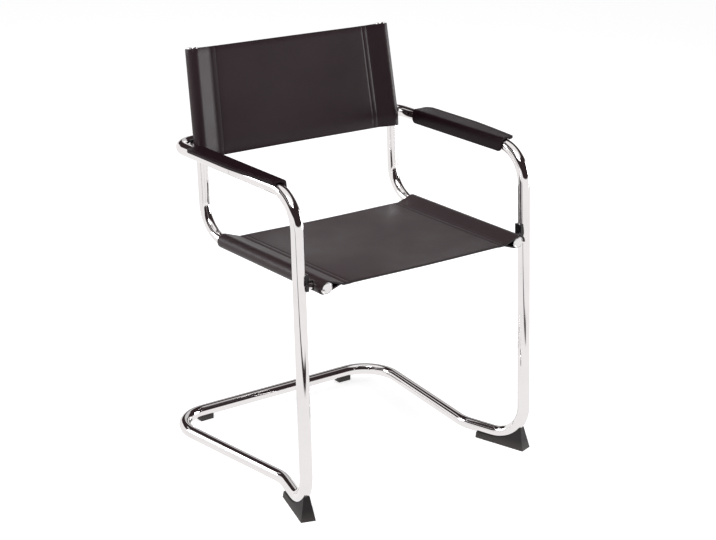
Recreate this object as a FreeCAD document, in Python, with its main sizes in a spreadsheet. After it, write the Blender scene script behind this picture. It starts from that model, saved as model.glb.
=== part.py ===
import FreeCAD, Part
import math
import os
import Sketcher

# Cantilever armchair of bent chromed tube with leather slings, in millimetres.
# The chair faces -Y, +Z is up, and the origin lies on the floor under the middle of the chair.
# Pieces are made for the +X side and mirrored to the other side.

V = FreeCAD.Vector
UP = V(0, 0, 1)
ACROSS = V(1, 0, 0)
BACKWARD = V(0, 1, 0)

doc = FreeCAD.newDocument("cantilever_armchair")

# Driving sizes

SIZES = (
    ("tube_diameter", 25.0, "frame tube, outside"),
    ("tube_wall", 2.0, "frame tube wall"),
    ("floor_gap", 8.0, "floor to the underside of the base tube"),
    ("leg_halfwidth", 276.0, "half the width over the legs and arms, on centre lines"),
    ("rear_bar_depth", 254.0, "middle of the chair to the rear bar"),
    ("rear_corner_flare", 2.7, "how far the rear corners stand outside the legs"),
    ("rear_corner_radius", 77.0, "bend of the rear corners"),
    ("waist_inset", 43.0, "legs to the place where the runners come closest"),
    ("waist_forward", 113.5, "middle of the chair to the waist of the runners"),
    ("waist_radius", 82.0, "bend at the waist"),
    ("foot_forward", 255.0, "middle of the chair to the foot of the leg"),
    ("foot_radius", 69.0, "bend from runner to leg"),
    ("leg_top_forward", 214.0, "middle of the chair to the top of the leg"),
    ("arm_height", 634.0, "floor to the centre line of the arm"),
    ("arm_radius", 71.0, "bend from leg to arm"),
    ("arm_joint_forward", 10.0, "middle of the chair to the joint in the arm"),
    ("bow_reach", 43.9, "rail at the arm's height to the bow behind the back"),
    ("bow_radius", 46.6, "bend of the bow"),
    ("rail_diameter", 22.0, "seat and back rail, outside"),
    ("rail_wall", 2.0, "rail wall"),
    ("rail_front_forward", 256.0, "middle of the chair to the front face of the rail cap"),
    ("rail_front_inset", 41.0, "legs to the rails at the front"),
    ("rail_front_height", 461.4, "floor to the rail at the front"),
    ("rail_rear_inset", 37.5, "arms to the rails at the back of the seat"),
    ("seat_corner_depth", 151.5, "middle of the chair to the corner of seat and back"),
    ("seat_corner_height", 459.3, "floor to the corner of seat and back"),
    ("seat_corner_radius", 70.0, "bend from seat to back"),
    ("lumbar_depth", 164.6, "middle of the chair to the slight bend in the back"),
    ("lumbar_height", 630.9, "floor to the slight bend in the back"),
    ("lumbar_radius", 200.0, "radius of the slight bend"),
    ("back_top_inset", 44.0, "arms to the rails at the top"),
    ("back_top_depth", 203.3, "middle of the chair to the top of the back"),
    ("back_top_height", 825.8, "floor to the face of the top cap"),
    ("leather_thickness", 3.1, "one layer of sling leather"),
    ("sleeve_clearance", 0.5, "rail to the inside of the leather sleeve"),
    ("seam_reach", 37.0, "rail centre line to where the two layers meet"),
    ("hem_width", 18.0, "stitched double layer beside the sleeve"),
    ("seat_front_forward", 258.0, "middle of the chair to the front edge of the seat leather"),
    ("seat_rear_depth", 88.0, "middle of the chair to the rear edge of the seat leather"),
    ("under_layer_setback", 11.0, "front edge to where the lower layer starts"),
    ("back_below_joint", 23.0, "bolts behind the back to the lower edge of the back leather"),
    ("front_notch_diameter", 19.0, "hole in the seat sleeve for the spacer"),
    ("rear_notch_diameter", 22.0, "hole in the back sleeve for the spacer"),
    ("pad_leather", 3.5, "leather of the arm pad"),
    ("pad_clearance", 0.3, "frame tube to the arm pad"),
    ("pad_front_forward", 162.0, "middle of the chair to the front of the arm pad"),
    ("pad_rear_depth", 120.0, "middle of the chair to the rear of the arm pad"),
    ("pad_wing", 30.0, "arm centre line to the outer edge of the pad"),
    ("pad_front_wing", 16.0, "the same at the front of the pad"),
    ("pad_corner_radius", 16.0, "rounded rear corner of the pad"),
    ("pad_edge", 5.5, "thickness of the stitched outer edge of the pad"),
    ("foot_width", 30.0, "rubber front foot at the floor"),
    ("foot_top_width", 12.0, "rubber front foot at its upper end"),
    ("foot_start", 40.0, "waist corner to the rear end of the foot"),
    ("foot_length", 115.4, "front foot along the tube"),
    ("foot_front_height", 47.0, "front foot at its front end"),
    ("foot_front_lean", 12.0, "how far the front face of the foot leans back"),
    ("foot_hug", 4.0, "how deep the tube lies in the foot"),
    ("foot_clearance", 0.15, "frame tube to rubber foot or glide"),
    ("screw_diameter", 4.0, "screws of the front feet"),
    ("screw_head_diameter", 8.0, "heads of the foot screws"),
    ("screw_head_height", 2.6, "height of the heads of the foot screws"),
    ("screw_recess", 3.0, "floor side of the foot to the screw head"),
    ("first_screw", 12.0, "rear end of the foot to its first screw"),
    ("screw_pitch", 17.0, "distance between the screws of a foot"),
    ("screw_clearance", 0.2, "screws in their holes"),
    ("glide_inset", 94.7, "rear corners to the rear glides"),
    ("glide_length", 31.0, "rear glide along the bar"),
    ("glide_width", 19.0, "rear glide across the bar"),
    ("glide_stem_diameter", 8.0, "stem that snaps into the bar"),
    ("glide_stem_length", 7.0, "stem above the underside of the bar"),
    ("saddle_thickness", 3.2, "moulded saddle at the tube's crown"),
    ("saddle_width", 18.0, "moulded saddle across the tube"),
    ("saddle_above", 25.0, "front saddle above the bolt"),
    ("saddle_below", 8.0, "front saddle below the bolt"),
    ("saddle_clearance", 0.1, "tube to the hollow face of saddle or spacer"),
    ("spacer_diameter", 13.0, "turned spacer, outside"),
    ("spacer_relief", 0.1, "room for the slight bend of the rail at the rear spacer"),
    ("bolt_diameter", 6.0, "shank of the joint bolts"),
    ("bolt_clearance", 0.3, "bolt shank in its holes"),
    ("bolt_head_diameter", 10.0, "head of the joint bolts"),
    ("bolt_head_height", 3.0, "height of that head"),
    ("bolt_socket_diameter", 4.0, "socket in that head"),
    ("head_clearance", 0.6, "bolt head in the access hole of the rail"),
    ("insert_diameter", 9.0, "neck of the threaded insert"),
    ("insert_bulb_diameter", 12.4, "formed bulb of the insert behind the tube wall"),
    ("insert_bulb_height", 2.8, "length of that bulb"),
    ("insert_top", 10.6, "tube centre line to the mouth of the insert"),
    ("insert_bulb_top", 7.0, "tube centre line to the top of the bulb"),
    ("insert_bottom", 1.0, "tube centre line to the end of the insert"),
    ("thread_clearance", 0.05, "bolt in the insert, insert in the tube wall"),
    ("cap_thickness", 2.5, "disc of the rail caps"),
    ("cap_diameter", 24.5, "front cap, outside"),
    ("cap_dome", 0.8, "rise of the cap's face"),
    ("cap_plug_length", 14.0, "plug of the cap inside the rail"),
    ("plug_clearance", 0.1, "plug or spigot in its tube"),
    ("cap_edge_gap", 0.2, "front cap to the leather over it"),
    ("spigot_length", 70.0, "spigot inside the arm joint"),
    ("collar_width", 1.0, "collar between the two arm tubes"),
    ("collar_setback", 0.8, "collar below the tube surface"),
)

sheet = doc.addObject("Spreadsheet::Sheet", "Sizes")
for row, (alias, number, note) in enumerate(SIZES, start=1):
    sheet.set("A%d" % row, note)
    sheet.set("B%d" % row, str(number))
    sheet.setAlias("B%d" % row, alias)
doc.recompute()


def size(alias):
    """Return one driving size from the sheet."""
    return float(getattr(sheet, alias))


def worked_out(expression):
    """Return the number that an expression in the sheet's sizes gives."""
    return float(sheet.evalExpression(expression))


# Paths of the bent tubes

def mirrored(point):
    """Return the point on the other side of the chair."""
    return V(-point.x, point.y, point.z)


def rounded_wire(corners, radii):
    """Join the corners by straight runs, with a tangent arc at each inner corner."""
    edges = []
    start = corners[0]
    for before, corner, after, radius in zip(corners, corners[1:], corners[2:], radii):
        back = (before - corner).normalize()
        ahead = (after - corner).normalize()
        half_turn = (math.pi - back.getAngle(ahead)) / 2
        setback = radius * math.tan(half_turn)
        crown_gap = radius / math.cos(half_turn) - radius
        entry = corner + back * setback
        crown = corner + (back + ahead).normalize() * crown_gap
        leave = corner + ahead * setback
        edges.append(Part.LineSegment(start, entry).toShape())
        edges.append(Part.Arc(entry, crown, leave).toShape())
        start = leave
    edges.append(Part.LineSegment(start, corners[-1]).toShape())
    return Part.Wire(edges)


def crossing(edges, axis, level):
    """Return the point and direction where a path passes a level along one axis."""
    for edge in edges:
        low = edge.FirstParameter
        high = edge.LastParameter
        low_side = edge.valueAt(low)[axis] - level
        if low_side * (edge.valueAt(high)[axis] - level) > 0:
            continue
        for _ in range(50):
            middle = (low + high) / 2
            if (edge.valueAt(middle)[axis] - level) * low_side > 0:
                low = middle
            else:
                high = middle
        return edge.valueAt(middle), edge.tangentAt(middle)
    raise ValueError("the path does not pass that level")


def path_object(name, wire):
    """Keep a path in the document, so that sweeps can follow it."""
    feature = doc.addObject("Part::Feature", name)
    feature.Shape = wire
    return feature


base_level = size("floor_gap") + size("tube_diameter") / 2
arm_level = size("arm_height")
half_collar = size("collar_width") / 2
leg_across = size("leg_halfwidth")

arm_end = V(leg_across, -size("arm_joint_forward") - half_collar, arm_level)
arm_corner = V(leg_across, -size("leg_top_forward"), arm_level)
foot_corner = V(leg_across, -size("foot_forward"), base_level)
waist_corner = V(leg_across - size("waist_inset"), -size("waist_forward"), base_level)
rear_corner = V(leg_across + size("rear_corner_flare"), size("rear_bar_depth"), base_level)
right_corners = [arm_end, arm_corner, foot_corner, waist_corner, rear_corner]
right_radii = [size(name) for name in ("arm_radius", "foot_radius", "waist_radius", "rear_corner_radius")]
frame_wire = rounded_wire(
    right_corners + [mirrored(point) for point in reversed(right_corners)],
    right_radii + list(reversed(right_radii)),
)
frame_path = path_object("frame_path", frame_wire)

rail_across = leg_across - size("rail_rear_inset")
rail_face = V(
    leg_across - size("rail_front_inset"), -size("rail_front_forward"), size("rail_front_height"))
seat_corner = V(rail_across, size("seat_corner_depth"), size("seat_corner_height"))
lumbar_corner = V(rail_across, size("lumbar_depth"), size("lumbar_height"))
top_face = V(leg_across - size("back_top_inset"), size("back_top_depth"), size("back_top_height"))
rail_forward = (rail_face - seat_corner).normalize()
back_upward = (top_face - lumbar_corner).normalize()
rail_start = rail_face - rail_forward * size("cap_thickness")
rail_end = top_face - back_upward * size("cap_thickness")
rail_wire = rounded_wire(
    [rail_start, seat_corner, lumbar_corner, rail_end],
    [size("seat_corner_radius"), size("lumbar_radius")],
)
rail_path = path_object("rail_path", rail_wire)
upright_lines = rail_wire.Edges[2:]
upright_joint, upright_upward = crossing(upright_lines, 2, arm_level)

loop_end = V(leg_across, -size("arm_joint_forward") + half_collar, arm_level)
bow_corner = V(leg_across, upright_joint.y + size("bow_reach"), arm_level)
loop_wire = rounded_wire(
    [loop_end, bow_corner, mirrored(bow_corner), mirrored(loop_end)],
    [size("bow_radius"), size("bow_radius")],
)
loop_path = path_object("loop_path", loop_wire)

# Where the rails are bolted to the frame

leg_line = [frame_wire.Edges[2]]
seat_line = [rail_wire.Edges[0]]
leg_joint, leg_upward = crossing(leg_line, 2, size("rail_front_height"))
rail_joint, rail_backward = crossing(seat_line, 1, leg_joint.y)
leg_joint, leg_upward = crossing(leg_line, 2, rail_joint.z)
if leg_upward.z < 0:
    leg_upward = leg_upward * -1
bow_arc = [loop_wire.Edges[1], loop_wire.Edges[2]]
bow_joint, bow_inward = crossing(bow_arc, 0, upright_joint.x)


# Document objects that several pieces use

def facing(direction):
    """Return the rotation that turns +Z to the direction."""
    return FreeCAD.Rotation(UP, direction)


def rod(name, start, direction, height, radius):
    """Make a cylinder from a point along a direction, with its radius bound to the sheet."""
    cylinder = doc.addObject("Part::Cylinder", name)
    cylinder.setExpression("Radius", radius)
    cylinder.Height = height
    cylinder.Placement = FreeCAD.Placement(start, facing(direction))
    return cylinder


def swept(name, path, radius):
    """Sweep a circle, with its radius bound to the sheet, along a path."""
    first = path.Shape.Edges[0]
    circle = doc.addObject("Part::Circle", name + "_circle")
    circle.setExpression("Radius", radius)
    circle.Placement = FreeCAD.Placement(
        first.valueAt(first.FirstParameter), facing(first.tangentAt(first.FirstParameter)))
    sweep = doc.addObject("Part::Sweep", name)
    sweep.Sections = [circle]
    sweep.Spine = (path, ["Edge%d" % number for number in range(1, len(path.Shape.Edges) + 1)])
    sweep.Solid = True
    sweep.Frenet = False
    return sweep


def joined(name, shapes):
    """Fuse several objects into one tool."""
    fusion = doc.addObject("Part::MultiFuse", name)
    fusion.Shapes = shapes
    return fusion


def cut(name, base, tools):
    """Cut tools from a base object."""
    difference = doc.addObject("Part::Cut", name)
    difference.Base = base
    difference.Tool = tools[0] if len(tools) == 1 else joined(name + "_tools", tools)
    return difference


def common(name, base, tool):
    """Keep what two objects share."""
    shared = doc.addObject("Part::Common", name)
    shared.Base = base
    shared.Tool = tool
    return shared


def solid_object(name, shape):
    """Keep a shape worked out from the sheet's sizes as an object."""
    feature = doc.addObject("Part::Feature", name)
    feature.Shape = shape
    return feature


def polygon_prism(points, along):
    """Extrude the closed outline through the points."""
    outline = Part.makePolygon(list(points) + [points[0]])
    return Part.Face(outline).extrude(along)


def turned_body(name, profile, start, direction):
    """Turn a closed half profile, a list of radius and height expressions, about its axis."""
    body = doc.addObject("PartDesign::Body", name)
    sketch = body.newObject("Sketcher::SketchObject", name + "_profile")
    plane = [item for item in body.Origin.OriginFeatures if item.Role == "XZ_Plane"][0]
    sketch.AttachmentSupport = [(plane, "")]
    sketch.MapMode = "FlatFace"
    points = [(worked_out(radius), worked_out(height)) for radius, height in profile]
    count = len(points)
    for number in range(count):
        here = points[number]
        there = points[(number + 1) % count]
        sketch.addGeometry(Part.LineSegment(V(here[0], here[1], 0), V(there[0], there[1], 0)), False)
    for number in range(count):
        sketch.addConstraint(Sketcher.Constraint("Coincident", number, 2, (number + 1) % count, 1))
    for number, (radius, height) in enumerate(profile):
        for kind, line, expression, place in (
            ("DistanceX", -2, radius, points[number][0]),
            ("DistanceY", -1, height, points[number][1]),
        ):
            if expression == "0":
                sketch.addConstraint(Sketcher.Constraint("PointOnObject", number, 1, line))
                continue
            index = sketch.addConstraint(Sketcher.Constraint(kind, -1, 1, number, 1, place))
            sketch.setExpression("Constraints[%d]" % index, expression)
    turning = body.newObject("PartDesign::Revolution", name + "_turning")
    turning.Profile = sketch
    turning.ReferenceAxis = (sketch, ["V_Axis"])
    turning.Angle = 360
    body.Tip = turning
    body.Placement = FreeCAD.Placement(start, facing(direction))
    return body


PIECES = []


def piece(name, obj):
    """Give a finished piece its name and keep it for writing."""
    obj.Label = name
    PIECES.append((name, obj))
    return obj


def pair(name, right_object):
    """Keep the piece of the +X side and its mirror image."""
    piece(name + "_right", right_object)
    piece(name + "_left", left_of(right_object))


def left_of(obj):
    """Mirror an object to the -X side."""
    mirror = doc.addObject("Part::Mirroring", obj.Name + "_mirror")
    mirror.Source = obj
    mirror.Normal = ACROSS
    mirror.Base = V(0, 0, 0)
    return mirror


def fasteners(name, right_objects):
    """Keep identical fasteners of both sides as one group of solids."""
    group = doc.addObject("Part::Compound", name + "_group")
    group.Links = right_objects + [left_of(obj) for obj in right_objects]
    return piece(name, group)


tube_radius = size("tube_diameter") / 2
rail_radius = size("rail_diameter") / 2
OUTWARD = ACROSS
saddle_face = tube_radius + size("saddle_thickness")

# The bent frame: one tube with arms, legs, runners and rear bar

flare = (foot_corner - waist_corner).normalize()
glide_across = rear_corner.x - size("glide_inset")
screw_points = [
    waist_corner + flare * (size("foot_start") + size("first_screw") + number * size("screw_pitch"))
    for number in (0, 1)
]
frame_holes = []
for side, turn in (("right", 1), ("left", -1)):
    for number, point in enumerate(screw_points):
        start = V(turn * point.x, point.y, 0)
        frame_holes.append(rod(
            "screw_hole_%s_%d" % (side, number), start, UP, base_level,
            "Sizes.screw_diameter / 2 + Sizes.screw_clearance"))
    start = V(turn * glide_across, size("rear_bar_depth"), 0)
    frame_holes.append(rod(
        "glide_hole_" + side, start, UP, base_level,
        "Sizes.glide_stem_diameter / 2 + Sizes.screw_clearance"))
    start = V(turn * leg_joint.x, leg_joint.y, leg_joint.z)
    frame_holes.append(rod(
        "leg_hole_" + side, start, OUTWARD * -turn, size("tube_diameter"),
        "Sizes.insert_diameter / 2 + Sizes.thread_clearance"))

frame_outside = swept("frame_outside", frame_path, "Sizes.tube_diameter / 2")
frame_inside = swept("frame_inside", frame_path, "Sizes.tube_diameter / 2 - Sizes.tube_wall")
frame_tube = cut("frame_tube", frame_outside, [frame_inside])
piece("main_frame", cut("frame_drilled", frame_tube, frame_holes))

# The loop that carries on from the arms and passes behind the back

loop_holes = []
for side, turn in (("right", 1), ("left", -1)):
    start = V(turn * bow_joint.x, bow_joint.y, bow_joint.z)
    loop_holes.append(rod(
        "bow_hole_" + side, start, BACKWARD * -1, size("tube_diameter"),
        "Sizes.insert_diameter / 2 + Sizes.thread_clearance"))
loop_outside = swept("loop_outside", loop_path, "Sizes.tube_diameter / 2")
loop_inside = swept("loop_inside", loop_path, "Sizes.tube_diameter / 2 - Sizes.tube_wall")
loop_tube = cut("loop_tube", loop_outside, [loop_inside])
piece("arm_loop", cut("loop_drilled", loop_tube, loop_holes))

# Spigots with a narrow collar that join the loop to the frame inside the arms

spigot_radius = "Sizes.tube_diameter / 2 - Sizes.tube_wall - Sizes.plug_clearance"
collar_radius = "Sizes.tube_diameter / 2 - Sizes.collar_setback"
below_collar = "Sizes.spigot_length / 2 - Sizes.collar_width / 2"
above_collar = "Sizes.spigot_length / 2 + Sizes.collar_width / 2"
spigot_start = V(leg_across, -size("arm_joint_forward") - size("spigot_length") / 2, arm_level)
pair("arm_spigot", turned_body(
    "arm_spigot_body",
    [
        ("0", "0"),
        (spigot_radius, "0"),
        (spigot_radius, below_collar),
        (collar_radius, below_collar),
        (collar_radius, above_collar),
        (spigot_radius, above_collar),
        (spigot_radius, "Sizes.spigot_length"),
        ("0", "Sizes.spigot_length"),
    ],
    spigot_start,
    BACKWARD,
))

# The two rails that carry the leather, each bent twice

rail_holes = [
    rod("rail_bolt_hole", rail_joint, OUTWARD, size("rail_diameter"),
        "Sizes.bolt_diameter / 2 + Sizes.bolt_clearance"),
    rod("rail_access_hole", rail_joint, OUTWARD * -1, size("rail_diameter"),
        "Sizes.bolt_head_diameter / 2 + Sizes.head_clearance"),
    rod("upright_bolt_hole", upright_joint, BACKWARD, size("rail_diameter"),
        "Sizes.bolt_diameter / 2 + Sizes.bolt_clearance"),
    rod("upright_access_hole", upright_joint, BACKWARD * -1, size("rail_diameter"),
        "Sizes.bolt_head_diameter / 2 + Sizes.head_clearance"),
]
rail_outside = swept("rail_outside", rail_path, "Sizes.rail_diameter / 2")
rail_inside = swept("rail_inside", rail_path, "Sizes.rail_diameter / 2 - Sizes.rail_wall")
rail_tube = cut("rail_tube", rail_outside, [rail_inside])
pair("side_rail", cut("rail_drilled", rail_tube, rail_holes))

# Caps in the open ends of the rails

plug_radius = "Sizes.rail_diameter / 2 - Sizes.rail_wall - Sizes.plug_clearance"
cap_top = "Sizes.cap_plug_length + Sizes.cap_thickness"
for cap_name, rim_radius, seat, direction in (
    ("rail_cap", "Sizes.cap_diameter / 2", rail_start, rail_forward),
    ("top_cap", "Sizes.rail_diameter / 2", rail_end, back_upward),
):
    pair(cap_name, turned_body(
        cap_name + "_body",
        [
            ("0", "0"),
            (plug_radius, "0"),
            (plug_radius, "Sizes.cap_plug_length"),
            (rim_radius, "Sizes.cap_plug_length"),
            (rim_radius, cap_top + " - Sizes.cap_dome"),
            (rim_radius + " - Sizes.cap_dome", cap_top),
            ("0", cap_top),
        ],
        seat - direction * size("cap_plug_length"),
        direction,
    ))

# Joints between rails and frame: spacer, moulded saddle, bolt and threaded insert.
# All four bolts have the length that the deeper rear joint needs.

bolt_seat = math.sqrt(
    (rail_radius - size("rail_wall")) ** 2 - (size("bolt_head_diameter") / 2) ** 2
) - size("saddle_clearance")
insert_reach = size("insert_top") - size("insert_bottom")
rear_reach = (bow_joint - upright_joint).dot(BACKWARD)
bolt_length = rear_reach - bolt_seat - size("insert_bottom") - 1
bolt_hole_radius = "Sizes.bolt_diameter / 2 + Sizes.bolt_clearance"
rail_room = "Sizes.rail_diameter / 2 + Sizes.saddle_clearance"
thread_radius = "Sizes.bolt_diameter / 2 + Sizes.thread_clearance"
bulb_top = "Sizes.insert_bulb_top - Sizes.insert_bottom"
joints = (
    ("front", rail_joint, rail_backward, leg_joint, OUTWARD, rail_room),
    ("rear", upright_joint, upright_upward, bow_joint, BACKWARD, rail_room + " + Sizes.spacer_relief"),
)
bolts = []
inserts = []
for place, on_rail, along_rail, on_frame, axis, room in joints:
    reach = (on_frame - on_rail).dot(axis)
    spacer_blank = rod(
        place + "_spacer_blank", on_rail, axis, reach - saddle_face, "Sizes.spacer_diameter / 2")
    spacer_bore = rod(place + "_spacer_bore", on_rail, axis, reach, bolt_hole_radius)
    rail_envelope = rod(
        place + "_rail_envelope", on_rail - along_rail * size("spacer_diameter"), along_rail,
        size("spacer_diameter") * 2, room)
    pair(place + "_spacer", cut(place + "_spacer_drilled", spacer_blank, [rail_envelope, spacer_bore]))

    bolts.append(turned_body(
        place + "_bolt_body",
        [
            ("0", "0"),
            ("Sizes.bolt_diameter / 2", "0"),
            ("Sizes.bolt_diameter / 2", "%.6f" % bolt_length),
            ("Sizes.bolt_head_diameter / 2", "%.6f" % bolt_length),
            ("Sizes.bolt_head_diameter / 2", "%.6f + Sizes.bolt_head_height" % bolt_length),
            ("Sizes.bolt_socket_diameter / 2", "%.6f + Sizes.bolt_head_height" % bolt_length),
            ("Sizes.bolt_socket_diameter / 2", "%.6f + Sizes.bolt_head_height * 0.3" % bolt_length),
            ("0", "%.6f + Sizes.bolt_head_height * 0.3" % bolt_length),
        ],
        on_rail + axis * (bolt_seat + bolt_length),
        axis * -1,
    ))
    inserts.append(turned_body(
        place + "_insert_body",
        [
            (thread_radius, "0"),
            ("Sizes.insert_diameter / 2", "0"),
            ("Sizes.insert_diameter / 2", bulb_top + " - Sizes.insert_bulb_height"),
            ("Sizes.insert_bulb_diameter / 2", bulb_top + " - Sizes.insert_bulb_height"),
            ("Sizes.insert_bulb_diameter / 2", bulb_top),
            ("Sizes.insert_diameter / 2", bulb_top),
            ("Sizes.insert_diameter / 2", "Sizes.insert_top - Sizes.insert_bottom"),
            (thread_radius, "Sizes.insert_top - Sizes.insert_bottom"),
        ],
        on_frame - axis * size("insert_bottom"),
        axis * -1,
    ))
fasteners("joint_bolts", bolts)
fasteners("threaded_inserts", inserts)

# Front saddle: a block hollowed to the leg, longer above the bolt than below it

saddle_depth = saddle_face - tube_radius * 0.75
front_block = doc.addObject("Part::Box", "front_saddle_block")
front_block.Length = saddle_depth
front_block.setExpression("Width", "Sizes.saddle_width")
front_block.setExpression("Height", "Sizes.saddle_above + Sizes.saddle_below")
front_turn = FreeCAD.Rotation(OUTWARD * -1, leg_upward.cross(OUTWARD * -1), leg_upward, "ZXY")
front_block.Placement = FreeCAD.Placement(
    leg_joint + front_turn.multVec(
        V(tube_radius * 0.75, -size("saddle_width") / 2, -size("saddle_below"))),
    front_turn)
leg_envelope = rod(
    "leg_envelope", leg_joint - leg_upward * size("saddle_above") * 2, leg_upward,
    size("saddle_above") * 4, "Sizes.tube_diameter / 2 + Sizes.saddle_clearance")
front_saddle_bore = rod(
    "front_saddle_bore", rail_joint, OUTWARD, (leg_joint - rail_joint).dot(OUTWARD), bolt_hole_radius)
pair("front_saddle", cut("front_saddle_hollowed", front_block, [leg_envelope, front_saddle_bore]))

# Rear saddle: a square block hollowed to the bend of the bow

rear_block = doc.addObject("Part::Box", "rear_saddle_block")
rear_block.setExpression("Length", "Sizes.saddle_width")
rear_block.Width = saddle_depth
rear_block.setExpression("Height", "Sizes.saddle_width")
rear_block.Placement = FreeCAD.Placement(
    bow_joint + V(-size("saddle_width") / 2, -saddle_face, -size("saddle_width") / 2),
    FreeCAD.Rotation())
bow_envelope = doc.addObject("Part::Torus", "bow_envelope")
bow_envelope.setExpression("Radius1", "Sizes.bow_radius")
bow_envelope.setExpression("Radius2", "Sizes.tube_diameter / 2 + Sizes.saddle_clearance")
bow_envelope.Placement = FreeCAD.Placement(
    bow_corner - V(size("bow_radius"), size("bow_radius"), 0), FreeCAD.Rotation())
rear_saddle_bore = rod(
    "rear_saddle_bore", upright_joint, BACKWARD, (bow_joint - upright_joint).dot(BACKWARD), bolt_hole_radius)
pair("rear_saddle", cut("rear_saddle_hollowed", rear_block, [bow_envelope, rear_saddle_bore]))

# Leather slings: a panel whose side edges are turned round the rails and sewn down

sleeve_inner = rail_radius + size("sleeve_clearance")
sleeve_outer = sleeve_inner + size("leather_thickness")
layer = size("leather_thickness")
seam = size("seam_reach")
seam_lean = math.asin(sleeve_inner / seam)
seam_sine = math.sin(seam_lean)
seam_cosine = math.cos(seam_lean)
shoulder = seam + layer * seam_sine - layer * math.tan(seam_lean / 2) * seam_cosine
hem = seam + size("hem_width")


def sleeve_face(centre, inward, normal):
    """Return the section of a sleeve with its hem: a teardrop round the rail at +X."""

    def at(inset, rise):
        return centre + inward * inset + normal * rise

    def line(start, end):
        return Part.LineSegment(at(*start), at(*end)).toShape()

    def bow(radius, first, last):
        angles = (first, (first + last) / 2, last)
        places = [at(-radius * math.cos(angle), radius * math.sin(angle)) for angle in angles]
        return Part.Arc(*places).toShape()

    tangent = math.pi / 2 + seam_lean
    outline = Part.Wire([
        line((hem, layer), (shoulder, layer)),
        line((shoulder, layer), (sleeve_outer * seam_sine, sleeve_outer * seam_cosine)),
        bow(sleeve_outer, tangent, 0),
        bow(sleeve_outer, 0, -tangent),
        line((sleeve_outer * seam_sine, -sleeve_outer * seam_cosine), (shoulder, -layer)),
        line((shoulder, -layer), (hem, -layer)),
        line((hem, -layer), (hem, layer)),
    ])
    opening = Part.Wire([
        line((seam, 0), (sleeve_inner * seam_sine, sleeve_inner * seam_cosine)),
        bow(sleeve_inner, tangent, 0),
        bow(sleeve_inner, 0, -tangent),
        line((sleeve_inner * seam_sine, -sleeve_inner * seam_cosine), (seam, 0)),
    ])
    return Part.Face(outline).cut(Part.Face(opening))


def beyond(point, direction):
    """Return a large block on the far side of a plane."""
    room = (rail_end - rail_start).Length
    block = Part.makeBox(room * 2, room * 2, room, V(-room, -room, 0))
    block.Placement = FreeCAD.Placement(point, facing(direction))
    return block


def sling_span(start, end, normal):
    """Return a straight span of the sling's +X half, sleeve and panel, longer than it is needed."""
    run = (end - start).normalize()
    inward = run.cross(normal)
    if inward.x > 0:
        inward = inward * -1
    first = start - run * sleeve_outer
    along = end + run * sleeve_outer - first
    sleeve = sleeve_face(first, inward, normal).extrude(along)
    near = first + inward * hem
    far = near + along
    corners = [V(0, near.y, near.z), near, far, V(0, far.y, far.z)]
    panel = polygon_prism(corners, normal * layer)
    return sleeve.fuse(panel)


def whole_sling(half):
    """Join the +X half of a sling with its mirror image."""
    return half.fuse(half.mirror(V(0, 0, 0), ACROSS)).removeSplitter()


def cylinder_shape(start, direction, height, radius):
    """Return a cylinder from a point along a direction."""
    return Part.makeCylinder(radius, height, start, direction)


def rail_point(depth):
    """Return the point of the seat rail's line at a depth of the chair."""
    share = (depth - rail_face.y) / (seat_corner.y - rail_face.y)
    return rail_face + (seat_corner - rail_face) * share


seat_normal = ACROSS.cross(V(0, rail_forward.y, rail_forward.z)).normalize() * -1
seat_front = rail_point(-size("seat_front_forward"))
seat_rear = rail_point(size("seat_rear_depth"))
seat_half = sling_span(seat_front, seat_rear, seat_normal)
seat_half = seat_half.cut(beyond(seat_front, BACKWARD * -1)).cut(beyond(seat_rear, BACKWARD))
under_layer = Part.makeBox(
    sleeve_outer * 2 + hem,
    size("under_layer_setback") + 1,
    sleeve_outer * 2,
    V(rail_face.x - hem, -size("seat_front_forward") - 1, rail_face.z - sleeve_outer * 2),
)
cap_room = cylinder_shape(
    rail_face + rail_forward * size("cap_thickness") * 2,
    rail_forward * -1,
    size("cap_thickness") * 3 + size("cap_edge_gap"),
    size("cap_diameter") / 2 + size("cap_edge_gap"),
)
front_notch = cylinder_shape(
    rail_joint + OUTWARD * rail_radius / 2, OUTWARD, size("rail_diameter"), size("front_notch_diameter") / 2)
for tool in (under_layer, cap_room, front_notch):
    seat_half = seat_half.cut(tool)
piece("seat_sling", solid_object("seat_leather", whole_sling(seat_half)))

# The back leather has two spans that meet in the plane halfway between their directions

lower_run = (lumbar_corner - seat_corner).normalize()
bottom_point, bottom_run = crossing(upright_lines, 2, arm_level - size("back_below_joint"))
lower_normal = ACROSS.cross(V(0, lower_run.y, lower_run.z)).normalize()
upper_normal = ACROSS.cross(V(0, back_upward.y, back_upward.z)).normalize()
mitre_normal = (V(0, lower_run.y, lower_run.z) + V(0, back_upward.y, back_upward.z)).normalize()
bottom_trim = beyond(bottom_point, V(0, bottom_run.y, bottom_run.z) * -1)
top_trim = beyond(rail_end, V(0, back_upward.y, back_upward.z))
mitre = beyond(lumbar_corner, mitre_normal)
lower_span = sling_span(seat_corner, lumbar_corner, lower_normal).cut(mitre)
upper_span = sling_span(lumbar_corner, rail_end, upper_normal).common(mitre)
spans = [span.cut([bottom_trim, top_trim]) for span in (lower_span, upper_span)]
spans = [span for span in spans if span.Solids]
back_half = spans[0].fuse(spans[1:]) if spans[1:] else spans[0]
rear_notch = cylinder_shape(
    upright_joint + BACKWARD * rail_radius / 2, BACKWARD, size("rail_diameter"),
    size("rear_notch_diameter") / 2)
piece("back_sling", solid_object("back_leather", whole_sling(back_half.cut(rear_notch))))

# Arm pads: leather over the top and inner side of the arm, with a stitched outer wing

pad_inner = tube_radius + size("pad_clearance")
pad_outer = pad_inner + size("pad_leather")
pad_wing = size("pad_wing")
wing_start = math.radians(50)
pad_front = -size("pad_front_forward")
pad_rear = size("pad_rear_depth")


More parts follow.
